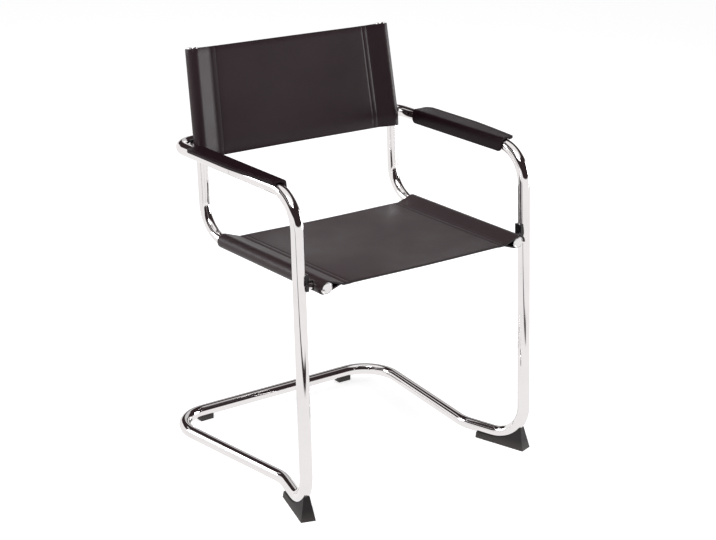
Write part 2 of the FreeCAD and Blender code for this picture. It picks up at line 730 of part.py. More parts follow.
def pad_at(across, rise):
    return V(leg_across + across, pad_front, arm_level + rise)


def pad_line(start, end):
    return Part.LineSegment(pad_at(*start), pad_at(*end)).toShape()


wing_top = pad_outer + 0.6
pad_outline = [
    pad_line((-pad_inner + 0.3, -tube_radius), (-pad_outer + 0.5, -tube_radius)),
    pad_line((-pad_outer + 0.5, -tube_radius), (-pad_outer, 0)),
    pad_line((-pad_outer, 0), (-pad_outer + 1.9, pad_outer - 2.8)),
    Part.Arc(
        pad_at(-pad_outer + 1.9, pad_outer - 2.8),
        pad_at(-pad_outer + 3.2, pad_outer - 0.9),
        pad_at(-pad_outer + 5.6, pad_outer)).toShape(),
    pad_line((-pad_outer + 5.6, pad_outer), (pad_wing, wing_top)),
    pad_line((pad_wing, wing_top), (pad_wing, wing_top - size("pad_edge"))),
    pad_line(
        (pad_wing, wing_top - size("pad_edge")),
        (pad_inner * math.cos(wing_start), pad_inner * math.sin(wing_start))),
    Part.Arc(
        pad_at(pad_inner * math.cos(wing_start), pad_inner * math.sin(wing_start)),
        pad_at(0, pad_inner),
        pad_at(-pad_inner, 0)).toShape(),
    pad_line((-pad_inner, 0), (-pad_inner + 0.3, -tube_radius)),
]
pad_blank = Part.Face(Part.Wire(pad_outline)).extrude(V(0, pad_rear - pad_front, 0))

plan_level = arm_level - tube_radius * 2
inner_edge = leg_across - pad_outer * 2
outer_edge = leg_across + pad_wing
front_edge = leg_across + size("pad_front_wing")
corner = size("pad_corner_radius")
narrowing_start = pad_front + (pad_rear - pad_front) * 0.5


def plan_at(across, depth):
    return V(across, depth, plan_level)


corner_centre = (outer_edge - corner, pad_rear - corner)
corner_point = plan_at(corner_centre[0] + corner * math.sqrt(0.5), corner_centre[1] + corner * math.sqrt(0.5))
narrow_middle = plan_at(
    outer_edge - (outer_edge - front_edge) * 0.32, pad_front + (narrowing_start - pad_front) * 0.45)
plan_outline = [
    Part.LineSegment(plan_at(inner_edge, pad_rear), plan_at(corner_centre[0], pad_rear)).toShape(),
    Part.Arc(plan_at(corner_centre[0], pad_rear), corner_point, plan_at(outer_edge, corner_centre[1])).toShape(),
    Part.LineSegment(plan_at(outer_edge, corner_centre[1]), plan_at(outer_edge, narrowing_start)).toShape(),
    Part.Arc(plan_at(outer_edge, narrowing_start), narrow_middle, plan_at(front_edge, pad_front)).toShape(),
    Part.LineSegment(plan_at(front_edge, pad_front), plan_at(inner_edge, pad_front)).toShape(),
    Part.LineSegment(plan_at(inner_edge, pad_front), plan_at(inner_edge, pad_rear)).toShape(),
]
pad_plan = Part.Face(Part.Wire(plan_outline)).extrude(V(0, 0, tube_radius * 4 + pad_outer))
pair("arm_pad", common(
    "arm_pad_trimmed", solid_object("arm_pad_blank", pad_blank), solid_object("arm_pad_plan", pad_plan)))

# Rubber front feet: a wedge under the flared end of each runner that rises round the bend

foot_frame = FreeCAD.Placement(
    V(waist_corner.x, waist_corner.y, 0), FreeCAD.Rotation(flare, UP.cross(flare), UP, "ZXY"))
run_length = (foot_corner - waist_corner).Length
leg_direction = (arm_corner - foot_corner).normalize()
foot_turn = flare.getAngle(leg_direction)
bend_start = run_length - size("foot_radius") * math.tan(foot_turn / 2)
bend_level = base_level + size("foot_radius")
cradle_gap = tube_radius - size("foot_hug")
cradle_level = base_level - cradle_gap
cradle_radius = size("foot_radius") + cradle_gap
foot_back = size("foot_start")
foot_front = foot_back + size("foot_length")
foot_height = size("foot_front_height")
crest_angle = math.acos((bend_level - foot_height) / cradle_radius)


def foot_at(along, rise, across=0):
    return foot_frame.multVec(V(along, across, rise))


half_foot = size("foot_width") / 2
half_top = size("foot_top_width") / 2


def side_at(along, rise):
    return foot_at(along, rise, -half_foot)


crest = (bend_start + cradle_radius * math.sin(crest_angle), foot_height)
halfway = (
    bend_start + cradle_radius * math.sin(crest_angle / 2),
    bend_level - cradle_radius * math.cos(crest_angle / 2),
)
foot_side = [
    Part.LineSegment(side_at(foot_back, 0), side_at(foot_front, 0)).toShape(),
    Part.LineSegment(
        side_at(foot_front, 0), side_at(foot_front - size("foot_front_lean"), foot_height)).toShape(),
    Part.LineSegment(
        side_at(foot_front - size("foot_front_lean"), foot_height), side_at(*crest)).toShape(),
    Part.Arc(side_at(*crest), side_at(*halfway), side_at(bend_start, cradle_level)).toShape(),
    Part.LineSegment(side_at(bend_start, cradle_level), side_at(foot_back, cradle_level)).toShape(),
    Part.LineSegment(side_at(foot_back, cradle_level), side_at(foot_back, 0)).toShape(),
]
foot_block = Part.Face(Part.Wire(foot_side)).extrude(
    foot_at(0, 0, half_foot) - foot_at(0, 0, -half_foot))
foot_taper = polygon_prism(
    [
        foot_at(foot_back - 1, 0, -half_foot),
        foot_at(foot_back - 1, 0, half_foot),
        foot_at(foot_back - 1, foot_height + 1, half_top),
        foot_at(foot_back - 1, foot_height + 1, -half_top),
    ],
    foot_at(foot_front + 2, 0) - foot_at(foot_back, 0),
)
foot_wedge = common("foot_wedge", solid_object("foot_block", foot_block), solid_object("foot_taper", foot_taper))
bend_path = path_object("foot_bend_path", rounded_wire(
    [waist_corner, foot_corner, foot_corner + leg_direction * run_length], [size("foot_radius")]))
foot_envelope = swept("foot_envelope", bend_path, "Sizes.tube_diameter / 2 + Sizes.foot_clearance")
foot_bores = []
foot_screws = []
for number, point in enumerate(screw_points):
    floor_point = V(point.x, point.y, 0)
    foot_bores.append(rod(
        "foot_bore_%d" % number, floor_point, UP, base_level,
        "Sizes.screw_diameter / 2 + Sizes.screw_clearance"))
    foot_bores.append(rod(
        "foot_head_room_%d" % number, floor_point, UP, size("screw_recess") + size("screw_head_height"),
        "Sizes.screw_head_diameter / 2 + Sizes.screw_clearance"))
    head_point = floor_point + UP * size("screw_recess")
    head = rod("screw_head_%d" % number, head_point, UP, size("screw_head_height"),
               "Sizes.screw_head_diameter / 2")
    shank = rod("screw_shank_%d" % number, head_point, UP,
                size("floor_gap") + size("tube_wall") * 2, "Sizes.screw_diameter / 2")
    foot_screws.append(joined("foot_screw_%d" % number, [head, shank]))
pair("front_foot", cut("front_foot_cradle", foot_wedge, [foot_envelope] + foot_bores))
fasteners("foot_screws", foot_screws)

# Rear glides: blocks under the rear bar with a stem that snaps into it

glide_block = doc.addObject("Part::Box", "glide_block")
glide_block.setExpression("Length", "Sizes.glide_length")
glide_block.setExpression("Width", "Sizes.glide_width")
glide_block.setExpression("Height", "Sizes.floor_gap + Sizes.foot_hug")
glide_block.Placement = FreeCAD.Placement(
    V(glide_across - size("glide_length") / 2, size("rear_bar_depth") - size("glide_width") / 2, 0),
    FreeCAD.Rotation())
bar_path = path_object("bar_path", rounded_wire(
    [V(0, size("rear_bar_depth"), base_level), rear_corner, waist_corner], [size("rear_corner_radius")]))
bar_envelope = swept("bar_envelope", bar_path, "Sizes.tube_diameter / 2 + Sizes.foot_clearance")
glide_stem = rod(
    "glide_stem", V(glide_across, size("rear_bar_depth"), 1), UP,
    size("floor_gap") + size("glide_stem_length") - 1, "Sizes.glide_stem_diameter / 2")
glide_cradle = cut("glide_cradle", glide_block, [bar_envelope])
pair("rear_glide", joined("glide_with_stem", [glide_cradle, glide_stem]))

# Check every object, compare the bent tubes with their sections, and write the pieces

doc.recompute()
for item in doc.Objects:
    if "Invalid" in item.State or "Error" in item.State:
        raise RuntimeError("%s is %s" % (item.Name, item.State))

for sweep, path, radius in (
    (frame_outside, frame_path, tube_radius),
    (loop_outside, loop_path, tube_radius),
    (rail_outside, rail_path, rail_radius),
):
    expected = math.pi * radius ** 2 * path.Shape.Length
    print("%s volume over section times length: %.5f" % (sweep.Name, sweep.Shape.Volume / expected))

os.makedirs("parts", exist_ok=True)
for name, item in PIECES:
    shape = item.Shape
    if shape.isNull() or not shape.isValid():
        raise RuntimeError("%s has no valid shape" % name)
    if not shape.Solids:
        raise RuntimeError("%s has no solid" % name)
    shape.exportStep(os.path.join("parts", name + ".step"))
    print("%-20s %2d solid %10.1f mm3" % (name, len(shape.Solids), shape.Volume))
print("%d pieces" % len(PIECES))
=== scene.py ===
"""Dressed scene of a cantilever armchair: bent chromed tube, stretched leather slings, rubber feet."""
import logging
import math
from dataclasses import dataclass, field
from enum import Enum

import bmesh
import bpy
from mathutils import Matrix, Vector


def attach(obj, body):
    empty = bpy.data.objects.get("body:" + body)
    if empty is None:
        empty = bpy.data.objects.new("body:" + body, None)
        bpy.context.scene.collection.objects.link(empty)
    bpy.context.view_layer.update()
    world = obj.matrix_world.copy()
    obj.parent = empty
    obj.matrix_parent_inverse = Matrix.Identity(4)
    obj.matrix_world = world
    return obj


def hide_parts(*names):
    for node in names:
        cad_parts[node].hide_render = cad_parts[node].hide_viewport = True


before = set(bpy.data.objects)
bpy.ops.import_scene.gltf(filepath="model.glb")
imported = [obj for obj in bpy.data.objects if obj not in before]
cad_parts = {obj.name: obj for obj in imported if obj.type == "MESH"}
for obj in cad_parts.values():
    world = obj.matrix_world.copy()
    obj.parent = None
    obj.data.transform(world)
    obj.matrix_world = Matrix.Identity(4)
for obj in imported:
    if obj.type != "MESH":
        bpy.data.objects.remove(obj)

log = logging.getLogger("armchair")

MM = 0.001
ROOT = "root"


class Side(Enum):
    """The two sides of the chair, by the sign of X."""

    RIGHT = 1
    LEFT = -1

    @property
    def word(self) -> str:
        """The side's name as the node names spell it."""
        return self.name.lower()


def mesh_object(name: str, shape: bmesh.types.BMesh) -> bpy.types.Object:
    """Turn a bmesh into an object at the origin.

    Args:
        name: name of the object and of its mesh.
        shape: the bmesh, which is freed.

    Returns:
        The new object, linked to the scene.
    """
    mesh = bpy.data.meshes.new(name)
    shape.to_mesh(mesh)
    shape.free()
    obj = bpy.data.objects.new(name, mesh)
    bpy.context.scene.collection.objects.link(obj)
    return obj


def bake_modifiers(obj: bpy.types.Object) -> None:
    """Apply every modifier of an object to its mesh.

    Args:
        obj: the object whose modifiers become geometry.
    """
    graph = bpy.context.evaluated_depsgraph_get()
    mesh = bpy.data.meshes.new_from_object(obj.evaluated_get(graph))
    mesh.name = obj.name
    obj.modifiers.clear()
    obj.data = mesh


def smooth_shade(obj: bpy.types.Object, angle: float = 35.0) -> None:
    """Shade an object smooth, with sharp edges above an angle.

    Args:
        obj: the object to shade.
        angle: the sharpest bend that still looks smooth, in degrees.
    """
    obj.data.polygons.foreach_set("use_smooth", [True] * len(obj.data.polygons))
    obj.data.set_sharp_from_angle(angle=math.radians(angle))


def carve(obj: bpy.types.Object, cutters: list[bpy.types.Object]) -> None:
    """Cut helper solids out of an object and remove them.

    Args:
        obj: the object that is cut.
        cutters: closed solids that are used up.
    """
    for cutter in cutters:
        cutting = obj.modifiers.new("cut", "BOOLEAN")
        cutting.operation = "DIFFERENCE"
        cutting.solver = "EXACT"
        cutting.object = cutter
        bake_modifiers(obj)
        bpy.data.objects.remove(cutter)


def drill(name: str, start: Vector, end: Vector, radius: float) -> bpy.types.Object:
    """Make a round cutter between two points.

    Args:
        name: name of the cutter.
        start: centre of one end.
        end: centre of the other end.
        radius: radius of the cutter.

    Returns:
        The cutter.
    """
    shape = bmesh.new()
    axis = end - start
    turn = axis.to_track_quat("Z", "Y").to_matrix().to_4x4()
    bmesh.ops.create_cone(
        shape, cap_ends=True, segments=40, radius1=radius, radius2=radius, depth=axis.length,
        matrix=Matrix.Translation((start + end) / 2) @ turn)
    return mesh_object(name, shape)


def draw_line(shape: bmesh.types.BMesh, points: list[Vector], tip: bmesh.types.BMVert | None = None
              ) -> bmesh.types.BMVert:
    """Draw a line of edges by leading one point on to the next.

    Args:
        shape: the bmesh that takes the line.
        points: the line's points in order.
        tip: the point that the line starts from; without it the line starts at the first of the points.

    Returns:
        The line's last point.
    """
    if tip is None:
        tip = bmesh.ops.create_vert(shape, co=points[0])["vert"][0]
        points = points[1:]
    for point in points:
        tip = bmesh.ops.extrude_vert_indiv(shape, verts=[tip])["verts"][0]
        tip.co = point
    return tip


def soften_edges(obj: bpy.types.Object, width: float, segments: int, angle: float) -> None:
    """Round the edges that bend more than an angle.

    Args:
        obj: the object to work on.
        width: width of the rounding.
        segments: how many facets the rounding has.
        angle: the sharpest bend that stays as it is, in degrees.
    """
    rounding = obj.modifiers.new("soft_edges", "BEVEL")
    rounding.width = width
    rounding.segments = segments
    rounding.limit_method = "ANGLE"
    rounding.angle_limit = math.radians(angle)
    bake_modifiers(obj)


class Wiring:
    """Small helper that adds and joins the nodes of one shader tree."""

    def __init__(self, tree: bpy.types.NodeTree) -> None:
        """Keep the tree.

        Args:
            tree: the node tree to work in.
        """
        self.tree = tree
        self.column = 0

    def add(self, kind: str, **settings: object) -> bpy.types.Node:
        """Add a node.

        Args:
            kind: the node's type name.
            settings: attributes of the node, or default values of its inputs by name.

        Returns:
            The node.
        """
        node = self.tree.nodes.new(kind)
        node.location = (self.column * 180, 0)
        self.column += 1
        for key, value in settings.items():
            if hasattr(node, key):
                setattr(node, key, value)
            else:
                node.inputs[key.replace("_", " ")].default_value = value
        return node

    def join(self, source: bpy.types.NodeSocket, target: bpy.types.NodeSocket) -> None:
        """Link an output to an input."""
        self.tree.links.new(source, target)

    def maths(self, operation: str, first: object, second: object) -> bpy.types.NodeSocket:
        """Combine two numbers or sockets.

        Args:
            operation: name of the sum.
            first: a number or an output socket.
            second: a number or an output socket.

        Returns:
            The result's socket.
        """
        node = self.add("ShaderNodeMath", operation=operation)
        for place, value in enumerate((first, second)):
            if isinstance(value, bpy.types.NodeSocket):
                self.join(value, node.inputs[place])
            else:
                node.inputs[place].default_value = value
        return node.outputs[0]

    def ramp(self, source: bpy.types.NodeSocket, low: float, high: float, to_low: float, to_high: float
             ) -> bpy.types.NodeSocket:
        """Map one range of numbers to another.

        Args:
            source: the socket that is mapped.
            low: start of the range that goes in.
            high: end of the range that goes in.
            to_low: what the start becomes.
            to_high: what the end becomes.

        Returns:
            The mapped socket.
        """
        node = self.add("ShaderNodeMapRange")
        self.join(source, node.inputs["Value"])
        for name, value in (("From Min", low), ("From Max", high), ("To Min", to_low), ("To Max", to_high)):
            node.inputs[name].default_value = value
        return node.outputs["Result"]

    def texture(self, kind: str, output: str, scale: float | bpy.types.NodeSocket, **settings: object
                ) -> bpy.types.NodeSocket:
        """Add a texture on the object's own coordinates.

        Args:
            kind: the texture node's type name.
            output: the output that is wanted.
            scale: a number or an output socket.
            settings: what else is set on the node.

        Returns:
            The texture's socket.
        """
        node = self.add(kind, **settings)
        self.join(self.add("ShaderNodeTexCoord").outputs["Object"], node.inputs["Vector"])
        if isinstance(scale, bpy.types.NodeSocket):
            self.join(scale, node.inputs["Scale"])
        else:
            node.inputs["Scale"].default_value = scale
        return node.outputs[output]


class EffectGroups:
    """Shader effects that several finishes share, each built once as a node group."""

    def __init__(self) -> None:
        """Build the groups."""
        self.grain = self._grain()
        self.smudge = self._smudge()
        self.scuff = self._scuff()

    @staticmethod
    def _group(name: str, inputs: dict[str, float], outputs: tuple[str, ...]
               ) -> tuple[bpy.types.NodeTree, Wiring, bpy.types.Node, bpy.types.Node]:
        """Start a node group.

        Args:
            name: name of the group.
            inputs: names and default values of its number inputs.
            outputs: names of its number outputs.

        Returns:
            The group, its wiring, its input node and its output node.
        """
        tree = bpy.data.node_groups.new(name, "ShaderNodeTree")
        for label, value in inputs.items():
            socket = tree.interface.new_socket(name=label, in_out="INPUT", socket_type="NodeSocketFloat")
            socket.default_value = value
        for label in outputs:
            tree.interface.new_socket(name=label, in_out="OUTPUT", socket_type="NodeSocketFloat")
        wiring = Wiring(tree)
        return tree, wiring, wiring.add("NodeGroupInput"), wiring.add("NodeGroupOutput")

    def _grain(self) -> bpy.types.NodeTree:
        """Pores and fine creases of smooth saddle leather.

        Returns:
            The group, with a height and a blotch mask.
        """
        tree, w, given, result = self._group(
            "leather_grain", {"Pore Scale": 900.0, "Crease Scale": 60.0, "Crease Depth": 0.4},
            ("Height", "Blotch"))
        pores = w.texture("ShaderNodeTexVoronoi", "Distance", given.outputs["Pore Scale"],
                          feature="DISTANCE_TO_EDGE")
        crease = w.texture("ShaderNodeTexNoise", "Fac", given.outputs["Crease Scale"],
                           Detail=6.0, Roughness=0.6)
        creased = w.maths("MULTIPLY", crease, given.outputs["Crease Depth"])
        w.join(w.maths("ADD", w.ramp(pores, 0.0, 0.25, 0.0, 1.0), creased), result.inputs["Height"])
        blotch = w.texture("ShaderNodeTexNoise", "Fac", 9.0, Detail=3.0)
        w.join(w.ramp(blotch, 0.3, 0.7, 0.0, 1.0), result.inputs["Blotch"])
        return tree

    def _smudge(self) -> bpy.types.NodeTree:
        """Faint hand marks and hairline scratches on polished metal.

        Returns:
            The group, with a roughness mask.
        """
        tree, w, given, result = self._group(
            "polish_smudge", {"Smudge Scale": 14.0, "Hairline Scale": 260.0}, ("Mask", "Hairlines"))
        cloud = w.texture("ShaderNodeTexNoise", "Fac", given.outputs["Smudge Scale"],
                          Detail=5.0, Roughness=0.55)
        w.join(w.ramp(cloud, 0.45, 0.75, 0.0, 1.0), result.inputs["Mask"])
        lines = w.texture("ShaderNodeTexNoise", "Fac", given.outputs["Hairline Scale"], Detail=2.0)
        w.join(lines, result.inputs["Hairlines"])
        return tree

    def _scuff(self) -> bpy.types.NodeTree:
        """Dust and scuffs that gather towards the floor.

        Returns:
            The group, with a dust mask.
        """
        tree, w, given, result = self._group(
            "floor_scuff", {"Reach": 0.02, "Grit Scale": 240.0}, ("Dust", "Grit"))
        place = w.add("ShaderNodeTexCoord")
        split = w.add("ShaderNodeSeparateXYZ")
        w.join(place.outputs["Object"], split.inputs[0])
        fall = w.maths("DIVIDE", split.outputs["Z"], given.outputs["Reach"])
        clear = w.add("ShaderNodeClamp")
        w.join(w.maths("SUBTRACT", 1.0, fall), clear.inputs["Value"])
        grit = w.texture("ShaderNodeTexNoise", "Fac", given.outputs["Grit Scale"], Detail=4.0)
        w.join(w.maths("MULTIPLY", clear.outputs[0], grit), result.inputs["Dust"])
        w.join(grit, result.inputs["Grit"])
        return tree


@dataclass(frozen=True)
class Finish:
    """A surface finish that can be made into a material."""

    name: str
    colour: tuple[float, float, float]

    def start(self) -> tuple[bpy.types.Material, Wiring, bpy.types.Node]:
        """Make an empty material.

        Returns:
            The material, its wiring and its surface shader.
        """
        material = bpy.data.materials.new(self.name)
        material.use_nodes = True
        material.diffuse_color = (*self.colour, 1.0)
        wiring = Wiring(material.node_tree)
        surface = material.node_tree.nodes["Principled BSDF"]
        surface.inputs["Base Color"].default_value = (*self.colour, 1.0)
        return material, wiring, surface

    def shade(self, share: float) -> tuple[float, ...]:
        """Return the finish's colour darkened to a share of itself."""
        return tuple(c * share for c in self.colour)

    @staticmethod
    def tint(w: Wiring, mask: bpy.types.NodeSocket, first: tuple[float, float, float],
             second: tuple[float, ...]) -> bpy.types.NodeSocket:
        """Blend two colours by a mask.

        Args:
            w: the material's wiring.
            mask: the mask's socket.
            first: colour where the mask is 0.
            second: colour where the mask is 1.

        Returns:
            The colour socket.
        """
        mix = w.add("ShaderNodeMix", data_type="RGBA")
        w.join(mask, mix.inputs["Factor"])
        mix.inputs[6].default_value = (*first, 1.0)
        mix.inputs[7].default_value = (*second, 1.0)
        return mix.outputs[2]

    @staticmethod
    def lay(w: Wiring, surface: bpy.types.Node, colour: bpy.types.NodeSocket, rough: bpy.types.NodeSocket,
            height: bpy.types.NodeSocket, strength: float, depth: float) -> None:
        """Feed colour, roughness and relief to a shader.

        Args:
            w: the material's wiring.
            surface: the shader.
            colour: the colour's socket.
            rough: the roughness's socket.
            height: the relief's socket.
            strength: how strong the relief looks.
            depth: depth of the relief in metres.
        """
        w.join(colour, surface.inputs["Base Color"])
        w.join(rough, surface.inputs["Roughness"])
        bump = w.add("ShaderNodeBump", Strength=strength, Distance=depth)
        w.join(height, bump.inputs["Height"])
        w.join(bump.outputs["Normal"], surface.inputs["Normal"])


@dataclass(frozen=True)
class Leather(Finish):
    """Thick dark saddle leather, with painted shade darkening it along its sewn rows."""

    deep: tuple[float, float, float] = (0.02, 0.012, 0.013)
    roughness: float = 0.46
    pore_scale: float = 1100.0
    relief: float = 0.25
    gloss: float = 0.34
    # How strongly and how darkly shade is painted along the sewn rows.
    groove_shade_strength: float = 0.85
    seam_shade: float = 0.3

    def material(self, effects: EffectGroups) -> bpy.types.Material:
        """Build the material from the shared effects."""
        material, w, surface = self.start()
        grain = w.add("ShaderNodeGroup", node_tree=effects.grain)
        grain.inputs["Pore Scale"].default_value = self.pore_scale
        # Painted shade: the colour is darkened towards a share of the deep colour where the seam attribute
        # marks the sewn rows.
        seam = w.add("ShaderNodeAttribute", attribute_name="seam")
        groove_shaded = w.add("ShaderNodeMix", data_type="RGBA")
        w.join(w.maths("MULTIPLY", seam.outputs["Fac"], self.groove_shade_strength), groove_shaded.inputs["Factor"])
        w.join(self.tint(w, grain.outputs["Blotch"], self.colour, self.deep), groove_shaded.inputs[6])
        groove_shaded.inputs[7].default_value = (*(c * self.seam_shade for c in self.deep), 1.0)
        self.lay(w, surface, groove_shaded.outputs[2],
                 w.ramp(grain.outputs["Blotch"], 0.0, 1.0, self.roughness + 0.05, self.roughness - 0.05),
                 grain.outputs["Height"], self.relief, 0.12 * MM)
        surface.inputs["Specular IOR Level"].default_value = self.gloss
        surface.inputs["Coat Weight"].default_value = 0.06
        surface.inputs["Coat Roughness"].default_value = 0.25
        return material


@dataclass(frozen=True)
class Chrome(Finish):
    """Bright chrome plating with faint hand marks."""

    roughness: float = 0.035

    def material(self, effects: EffectGroups) -> bpy.types.Material:
        """Build the material from the shared effects."""
        material, w, surface = self.start()
        surface.inputs["Metallic"].default_value = 1.0
        smudge = w.add("ShaderNodeGroup", node_tree=effects.smudge)
        self.lay(w, surface, self.tint(w, smudge.outputs["Mask"], self.colour, self.shade(0.95)),
                 w.ramp(smudge.outputs["Mask"], 0.0, 1.0, self.roughness, self.roughness + 0.05),
                 smudge.outputs["Hairlines"], 0.02, 0.02 * MM)
        return material


@dataclass(frozen=True)
class Rubber(Finish):
    """Matt black rubber or plastic, dusty near the floor."""

    dust: tuple[float, float, float] = (0.09, 0.08, 0.075)
    roughness: float = 0.62
    relief: float = 0.35

    def material(self, effects: EffectGroups) -> bpy.types.Material:
        """Build the material from the shared effects."""
        material, w, surface = self.start()
        scuff = w.add("ShaderNodeGroup", node_tree=effects.scuff)
        self.lay(w, surface, self.tint(w, scuff.outputs["Dust"], self.colour, self.dust),
                 w.ramp(scuff.outputs["Grit"], 0.3, 0.7, self.roughness - 0.06, self.roughness + 0.06),
                 scuff.outputs["Grit"], self.relief, 0.1 * MM)
        return material


@dataclass(frozen=True)
class Steel(Finish):
    """Plain turned or zinc-plated steel."""

    roughness: float = 0.3

    def material(self, effects: EffectGroups) -> bpy.types.Material:
        """Build the material from the shared effects."""
        material, w, surface = self.start()
        surface.inputs["Metallic"].default_value = 1.0
        smudge = w.add("ShaderNodeGroup", node_tree=effects.smudge)
        smudge.inputs["Smudge Scale"].default_value = 90.0
        self.lay(w, surface, self.tint(w, smudge.outputs["Mask"], self.colour, self.shade(0.8)),
                 w.ramp(smudge.outputs["Hairlines"], 0.3, 0.7, self.roughness - 0.05, self.roughness + 0.1),
                 smudge.outputs["Hairlines"], 0.1, 0.03 * MM)
        return material


@dataclass(frozen=True)
class Thread(Finish):
    """Waxed sewing thread with its twist."""

    roughness: float = 0.5

    def material(self, effects: EffectGroups) -> bpy.types.Material:
        """Build the material; the twist is a fine wave along the stitches."""
        material, w, surface = self.start()
        twist = w.texture("ShaderNodeTexWave", "Fac", 900.0, Distortion=1.0, bands_direction="DIAGONAL")
        self.lay(w, surface, self.tint(w, twist, self.colour, self.shade(0.6)),
                 w.ramp(twist, 0.0, 1.0, self.roughness, self.roughness + 0.15), twist, 0.4, 0.1 * MM)
        return material


@dataclass(frozen=True)
class Finishes:
    """Every material of the chair."""

    chrome: bpy.types.Material
    cap_chrome: bpy.types.Material
    seat_leather: bpy.types.Material
    back_leather: bpy.types.Material
    pad_leather: bpy.types.Material
    cut_edge: bpy.types.Material
    rubber: bpy.types.Material
    saddle: bpy.types.Material
    steel: bpy.types.Material
    thread: bpy.types.Material

    @classmethod
    def build(cls) -> "Finishes":
        """Build all materials from the shared effects."""
        effects = EffectGroups()
        finishes = dict(
            chrome=Chrome("chrome_tube", (0.86, 0.84, 0.845)),
            cap_chrome=Chrome("chrome_cap", (0.84, 0.825, 0.83), roughness=0.06),
            # The seat's leather is given a lighter colour than the back's: painted sheen for the light its
            # flat face catches.
            seat_leather=Leather("seat_leather", (0.0285, 0.0145, 0.0175), deep=(0.0225, 0.0115, 0.0135),
                                 roughness=0.43),
            back_leather=Leather("back_leather", (0.019, 0.0072, 0.011), deep=(0.0148, 0.0055, 0.0082),
                                 roughness=0.42, gloss=0.3),
            pad_leather=Leather("pad_leather", (0.013, 0.0046, 0.0075), deep=(0.0098, 0.0035, 0.0056),
                                roughness=0.42, gloss=0.12),
            cut_edge=Leather("leather_cut_edge", (0.016, 0.011, 0.012), deep=(0.012, 0.008, 0.009),
                             roughness=0.4, pore_scale=400.0),
            rubber=Rubber("foot_rubber", (0.0115, 0.0085, 0.0085)),
            saddle=Rubber("saddle_plastic", (0.012, 0.011, 0.011), roughness=0.24, relief=0.05),
            steel=Steel("zinc_steel", (0.6, 0.6, 0.59)),
            thread=Thread("sewing_thread", (0.045, 0.032, 0.034)),
        )
        return cls(**{name: finish.material(effects) for name, finish in finishes.items()})


@dataclass(frozen=True)
class Stitching:
    """Sewing thread laid in rows of single stitches."""

    pitch: float = 4.6 * MM
    length: float = 3.5 * MM
    radius: float = 0.5 * MM
    slant: float = 8.0
    stand: float = 0.25

    def sew(self, shape: bmesh.types.BMesh, start: Vector, end: Vector, normal: Vector) -> None:
        """Lay one row of stitches.

        Args:
            shape: the bmesh that takes the stitches.
            start: start of the row on the leather.
            end: end of the row on the leather.
            normal: direction away from the leather.
        """
        run = end - start
        count = max(1, round(run.length / self.pitch))
        along = run.normalized()
        across = normal.cross(along).normalized()
        turn = Matrix((along, across, along.cross(across))).transposed().to_4x4()
        slanted = Matrix.Rotation(math.radians(self.slant), 4, "Z")
        size = Matrix.Diagonal((self.length / 2, self.radius, self.radius, 1.0))
        row = bmesh.new()
        for number in range(count):
            place = start + run * ((number + 0.5) / count) + normal * (self.radius * self.stand)
            bmesh.ops.create_uvsphere(
                row, u_segments=6, v_segments=4, radius=1.0,
                matrix=Matrix.Translation(place) @ turn @ slanted @ size)
        sewn = bpy.data.meshes.new("sewn_row")
        row.to_mesh(sewn)
        row.free()
        shape.from_mesh(sewn)
        bpy.data.meshes.remove(sewn)

    @staticmethod
    def piece(name: str, shape: bmesh.types.BMesh, thread: bpy.types.Material) -> bpy.types.Object:
        """Turn sewn rows into a piece.

        Args:
            name: name of the piece.
            shape: the bmesh with the rows, which is freed.
            thread: the thread's material.

        Returns:
            The piece.
        """
        bmesh.ops.recalc_face_normals(shape, faces=shape.faces)
        obj = mesh_object(name, shape)
        obj.data.materials.append(thread)
        smooth_shade(obj, 80)
        return obj


@dataclass(frozen=True)
class Station:
    """A place on the right-hand rail, with the direction away from the leather's face."""

    centre: Vector
    normal: Vector


